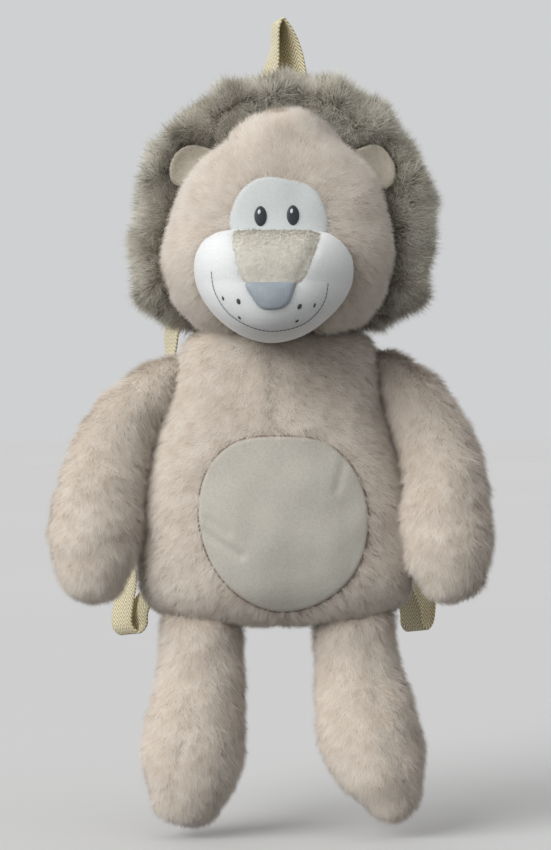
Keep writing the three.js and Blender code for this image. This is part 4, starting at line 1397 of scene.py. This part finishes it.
class PLUSHPACK_OT_mane(bpy.types.Operator):
    """Mane: a thick band of long grey-brown pile round the head."""

    bl_idname = "plush_pack.mane"
    bl_label = "Mane"

    def execute(self, context):
        pile = context.scene.plush_pile
        # Root colour with painted shade, for the strands' roots and for the backing.
        root = tuple(pile.mane_root_shade)
        strand = pile_material("Grey-brown deep pile", root, tuple(pile.mane_tip), tuple(pile.mane_dim), 0.2)
        backing = backing_material("Grey-brown knitted backing", root)
        band = mane_band()
        groom_mane(band)
        tufts = tuft_set("mane_tuft", PILES["mane"], pile.mane_long, pile.mane_wide)
        grown = grow_pile("mane_pile", band, PILES["mane"], {
            "Tufts": tufts, "Tufts per square metre": float(pile.mane_tufts), "Seed": MANE_SEED,
            "Finish": strand})
        grown.visible_shadow = True
        clear_tufts(tufts)
        smooth_faces(band)
        finish_piece(band, ["mane"], backing)
        finish_piece(grown, ["mane"])
        return {"FINISHED"}


class PLUSHPACK_OT_muzzle(bpy.types.Operator):
    """Muzzle: a stuffed dome of white velour."""

    bl_idname = "plush_pack.muzzle"
    bl_label = "Muzzle"

    def execute(self, context):
        cloth = context.scene.plush_cloth
        muzzle = soft_form("muzzle_cloth", "muzzle", MUZZLE["voxel"], SOFTENING)
        stuff(muzzle, MUZZLE["cap"], gap_to(points_of(muzzle.data), MUZZLE["sewn_to"]) < MUZZLE["held"])
        with_modifier(muzzle, "SUBSURF", levels=1, render_levels=1)
        fill_chin(muzzle)
        smooth_faces(muzzle)
        white = velour_material("White polyester velour", tuple(cloth.white), 1.1, mottle=1.0, glow=0.6)
        finish_piece(muzzle, ["muzzle"], white)
        return {"FINISHED"}


class PLUSHPACK_OT_face_cloths(bpy.types.Operator):
    """Eye patch and nose bridge, sewn on the head and the muzzle."""

    bl_idname = "plush_pack.face_cloths"
    bl_label = "Face cloths"

    def execute(self, context):
        cloth = context.scene.plush_cloth
        head = surface(piece("head_cloth"))
        plan = PATCHES["eye_patch"]
        middle, outline = outline_of("eye_patch", plan)
        longer = Vector((0, HIDDEN_EDGE["longer"]))
        outline = [p - longer if p.y < HIDDEN_EDGE["below"] else p for p in outline]
        field = laid_cloth("eye_patch_cloth", middle, outline, head, plan)
        # The eye field's velour is the white velour with painted shade for its recess.
        white_velour_painted_shade = velour_material("White velour with painted shade", tuple(cloth.field), 1.1, mottle=1.0)
        finish_piece(field, ["eye_patch"], white_velour_painted_shade)
        muzzle = surface(piece("muzzle_cloth"))
        plan = PATCHES["nose_bridge"]
        middle, outline = outline_of("nose_bridge", plan)
        outline = [Vector((p.x, min(p.y, BRIDGE_TOP))) for p in outline]
        bridge = laid_cloth("nose_bridge_cloth", middle, outline, muzzle, plan)
        tip = tuple(cloth.bridge)
        strand = pile_material("Short beige pile", toned(tip, SHORT_ROOT_SHADE), tip, linear(SHORT_DIM), 0.3)
        grown = short_pile("nose_bridge_pile", bridge, strand, BRIDGE_PILE)
        short = velour_material("Short beige plush", tip, 1.0, mottle=0.93)
        finish_piece(bridge, ["nose_bridge"], short)
        finish_piece(grown, ["nose_bridge"])
        return {"FINISHED"}


class PLUSHPACK_OT_belly(bpy.types.Operator):
    """Belly patch: round velour with its sewn rim."""

    bl_idname = "plush_pack.belly"
    bl_label = "Belly patch"

    def execute(self, context):
        cloth = context.scene.plush_cloth
        trunk = surface(piece("trunk_cloth"))
        plan = PATCHES["belly_patch"]
        middle, outline = outline_of("belly_patch", plan)
        patch = laid_cloth("belly_patch_cloth", middle, outline, trunk, plan, BELLY_CREASES)
        seam = tuple(cloth.seam)
        velour = velour_material("Grey-beige velour", tuple(cloth.belly), 1.3, seam, mottle=0.95)
        finish_piece(patch, ["belly_patch"], velour)
        stitches = stitched_line(outline + outline[:1], trunk, BELLY_STITCH)
        sewn = sew("belly_seam", stitches, thread_material("Brown seam thread", seam))
        finish_piece(sewn)
        return {"FINISHED"}


class PLUSHPACK_OT_embroidery(bpy.types.Operator):
    """Nose, eyes, mouth line and whisker dots in stitches."""

    bl_idname = "plush_pack.embroidery"
    bl_label = "Embroidery"

    def execute(self, context):
        cloth = context.scene.plush_cloth
        muzzle = surface(piece("muzzle_cloth"))
        outline = smooth_line(NOSE, NOSE_STEPS, closed=True)
        middle = sum(outline, Vector((0, 0))) / len(outline)
        nose = laid_cloth("nose_stitch", middle, outline, muzzle, PATCHES["nose"])
        satin = satin_material("Grey-blue satin stitch", tuple(cloth.nose), SATIN_PITCH, True)
        finish_piece(nose, ["nose"], satin)
        field = surface(piece("eye_patch_cloth"))
        dark = satin_material("Dark satin stitch", tuple(cloth.pupil), SATIN_PITCH, False)
        glints = []
        for side in ("left", "right"):
            middle, outline = outline_of(f"eye_{side}", PATCHES["eye"])
            eye = laid_cloth(f"eye_{side}_stitch", middle, outline, field, PATCHES["eye"])
            finish_piece(eye, [f"eye_{side}"], dark)
            point, normal = front_hit(surface(eye), middle.x + GLINT["x"] * MM, middle.y + GLINT["z"] * MM)
            glints.append((point, Vector((GLINT["lean"], 0, 1)), normal, GLINT["size"]))
        glint = sew("eye_glints", glints, thread_material("White glint thread", tuple(cloth.glint)))
        finish_piece(glint)
        stitches = stitched_line(smooth_line(MOUTH, MOUTH_STEPS), muzzle, MOUTH_STITCH)
        for dot in WHISKER_DOTS:
            point, normal = front_hit(muzzle, dot["x"] * MM, dot["z"] * MM)
            lean = math.radians(dot["lean"])
            run = Vector((-math.sin(lean), 0, math.cos(lean)))
            stitches.append((point, run, normal, (dot["high"], dot["wide"], WHISKER_THICK)))
        mouth = sew("mouth_stitches", stitches, thread_material("Dark mouth thread", tuple(cloth.mouth)))
        finish_piece(mouth)
        return {"FINISHED"}


class PLUSHPACK_OT_ears(bpy.types.Operator):
    """Ears: small cupped lobes of beige velour."""

    bl_idname = "plush_pack.ears"
    bl_label = "Ears"

    def execute(self, context):
        tip = tuple(context.scene.plush_cloth.ear)
        velour = velour_material("Beige velour", tip, 1.0)
        strand = pile_material("Beige velour nap", toned(tip, SHORT_ROOT_SHADE), tip, linear(SHORT_DIM), 0.3)
        for side, line in EAR_OUTLINES.items():
            ear = lobe(f"ear_{side}_cloth", smooth_line(line, EAR_FORM["steps"], closed=True), EAR_FORM)
            grown = short_pile(f"ear_{side}_nap", ear, strand, EAR_NAP)
            finish_piece(ear, [f"ear_{side}"], velour)
            finish_piece(grown, [f"ear_{side}"])
        return {"FINISHED"}


class PLUSHPACK_OT_webbing(bpy.types.Operator):
    """Hanging loop and shoulder straps of herringbone webbing."""

    bl_idname = "plush_pack.webbing"
    bl_label = "Webbing"

    def execute(self, context):
        webbing = context.scene.plush_webbing
        weave = webbing_material("Cream herringbone webbing", tuple(webbing.light), tuple(webbing.dark))
        head = surface(piece("head_cloth"))
        trunk = surface(piece("trunk_cloth"))
        for name, route, base in (("hang_loop", HANG_LOOP, head), ("strap_left", STRAP_LEFT, trunk),
                                  ("strap_right", STRAP_RIGHT, trunk)):
            strip = ribbon(f"{name}_webbing", route, base, webbing.wide, webbing.thick)
            finish_piece(strip, [name], weave)
        return {"FINISHED"}


class PLUSHPACK_OT_zip(bpy.types.Operator):
    """Zip in the back of the trunk: tape, coil, slider and pull."""

    bl_idname = "plush_pack.zip"
    bl_label = "Zip"

    def execute(self, context):
        webbing = context.scene.plush_webbing
        body = soft_form("zip_body", "zip_closure", ZIP["voxel"], ZIP["softening"])
        smooth_faces(body)
        woven = nylon_material("Woven zip tape", tuple(webbing.tape))
        finish_piece(body, ["zip_closure"], woven)
        low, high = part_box("zip_closure")
        tape = surface(frame["nodes"]["zip_closure"])
        pitch = ZIP["pitch"] * MM
        half = (high.x - low.x) / 2 - ZIP["end"] * MM
        teeth = []
        for k in range(int(2 * half / pitch)):
            x = -half + (k + 0.5) * pitch
            for side in (-1, 1):
                point, normal = front_hit(tape, x, (ZIP["z"] + side * ZIP["off"]) * MM, from_behind=True)
                teeth.append((point, Vector((ZIP["lean"] * side, 0, 1)), normal, ZIP["tooth"]))
        coil = sew("zip_coil", teeth, nylon_material("Nylon zip coil", tuple(webbing.coil)))
        finish_piece(coil)
        return {"FINISHED"}


class PLUSHPACK_OT_stage(bpy.types.Operator):
    """Pale seamless paper, soft light and the camera."""

    bl_idname = "plush_pack.stage"
    bl_label = "Stage"

    def execute(self, context):
        scene = context.scene
        stage = scene.plush_stage
        studio_paper(paper_material("Pale studio paper", tuple(stage.paper)))
        scene.world = studio_sky(stage.from_below, stage.from_above, tuple(stage.backdrop))
        broad_light("Key", stage.key, KEY_FROM)
        broad_light("Back", stage.back, BACK_FROM)
        data = bpy.data.cameras.new("Photo camera")
        data.lens = stage.lens
        data.sensor_width = SENSOR_WIDE
        camera = linked(bpy.data.objects.new("Photo camera", data))
        camera.location = CAMERA_PLACE
        camera.rotation_euler = (math.pi / 2, 0, 0)
        scene.camera = camera
        scene.view_settings.view_transform = "Standard"
        return {"FINISHED"}


STEPS = (PLUSHPACK_OT_body, PLUSHPACK_OT_mane, PLUSHPACK_OT_muzzle, PLUSHPACK_OT_face_cloths,
         PLUSHPACK_OT_belly, PLUSHPACK_OT_embroidery, PLUSHPACK_OT_ears, PLUSHPACK_OT_webbing,
         PLUSHPACK_OT_zip, PLUSHPACK_OT_stage)
SETTINGS = {
    "plush_pile": PlushPile,
    "plush_cloth": PlushCloth,
    "plush_webbing": PlushWebbing,
    "plush_stage": PlushStage,
}


class PLUSHPACK_PT_panel(bpy.types.Panel):
    """Steps and settings of the plush backpack."""

    bl_idname = "PLUSHPACK_PT_panel"
    bl_label = "Plush Pack"
    bl_space_type = "VIEW_3D"
    bl_region_type = "UI"
    bl_category = "Plush Pack"

    def draw(self, context):
        for step in STEPS:
            self.layout.operator(step.bl_idname)
        for group in SETTINGS:
            values = getattr(context.scene, group)
            for name in values.bl_rna.properties.keys():
                if name not in ("rna_type", "name"):
                    self.layout.prop(values, name)


def register():
    for name, group in SETTINGS.items():
        bpy.utils.register_class(group)
        setattr(bpy.types.Scene, name, PointerProperty(type=group))
    for step in STEPS:
        bpy.utils.register_class(step)
    bpy.utils.register_class(PLUSHPACK_PT_panel)


def unregister():
    bpy.utils.unregister_class(PLUSHPACK_PT_panel)
    for step in reversed(STEPS):
        bpy.utils.unregister_class(step)
    for name, group in SETTINGS.items():
        delattr(bpy.types.Scene, name)
        bpy.utils.unregister_class(group)


def main():
    """Dresses the frame step by step."""
    register()
    bpy.ops.plush_pack.body()
    bpy.ops.plush_pack.mane()
    bpy.ops.plush_pack.muzzle()
    bpy.ops.plush_pack.face_cloths()
    bpy.ops.plush_pack.belly()
    bpy.ops.plush_pack.embroidery()
    bpy.ops.plush_pack.ears()
    bpy.ops.plush_pack.webbing()
    bpy.ops.plush_pack.zip()
    bpy.ops.plush_pack.stage()


if __name__ == "__main__":
    main()
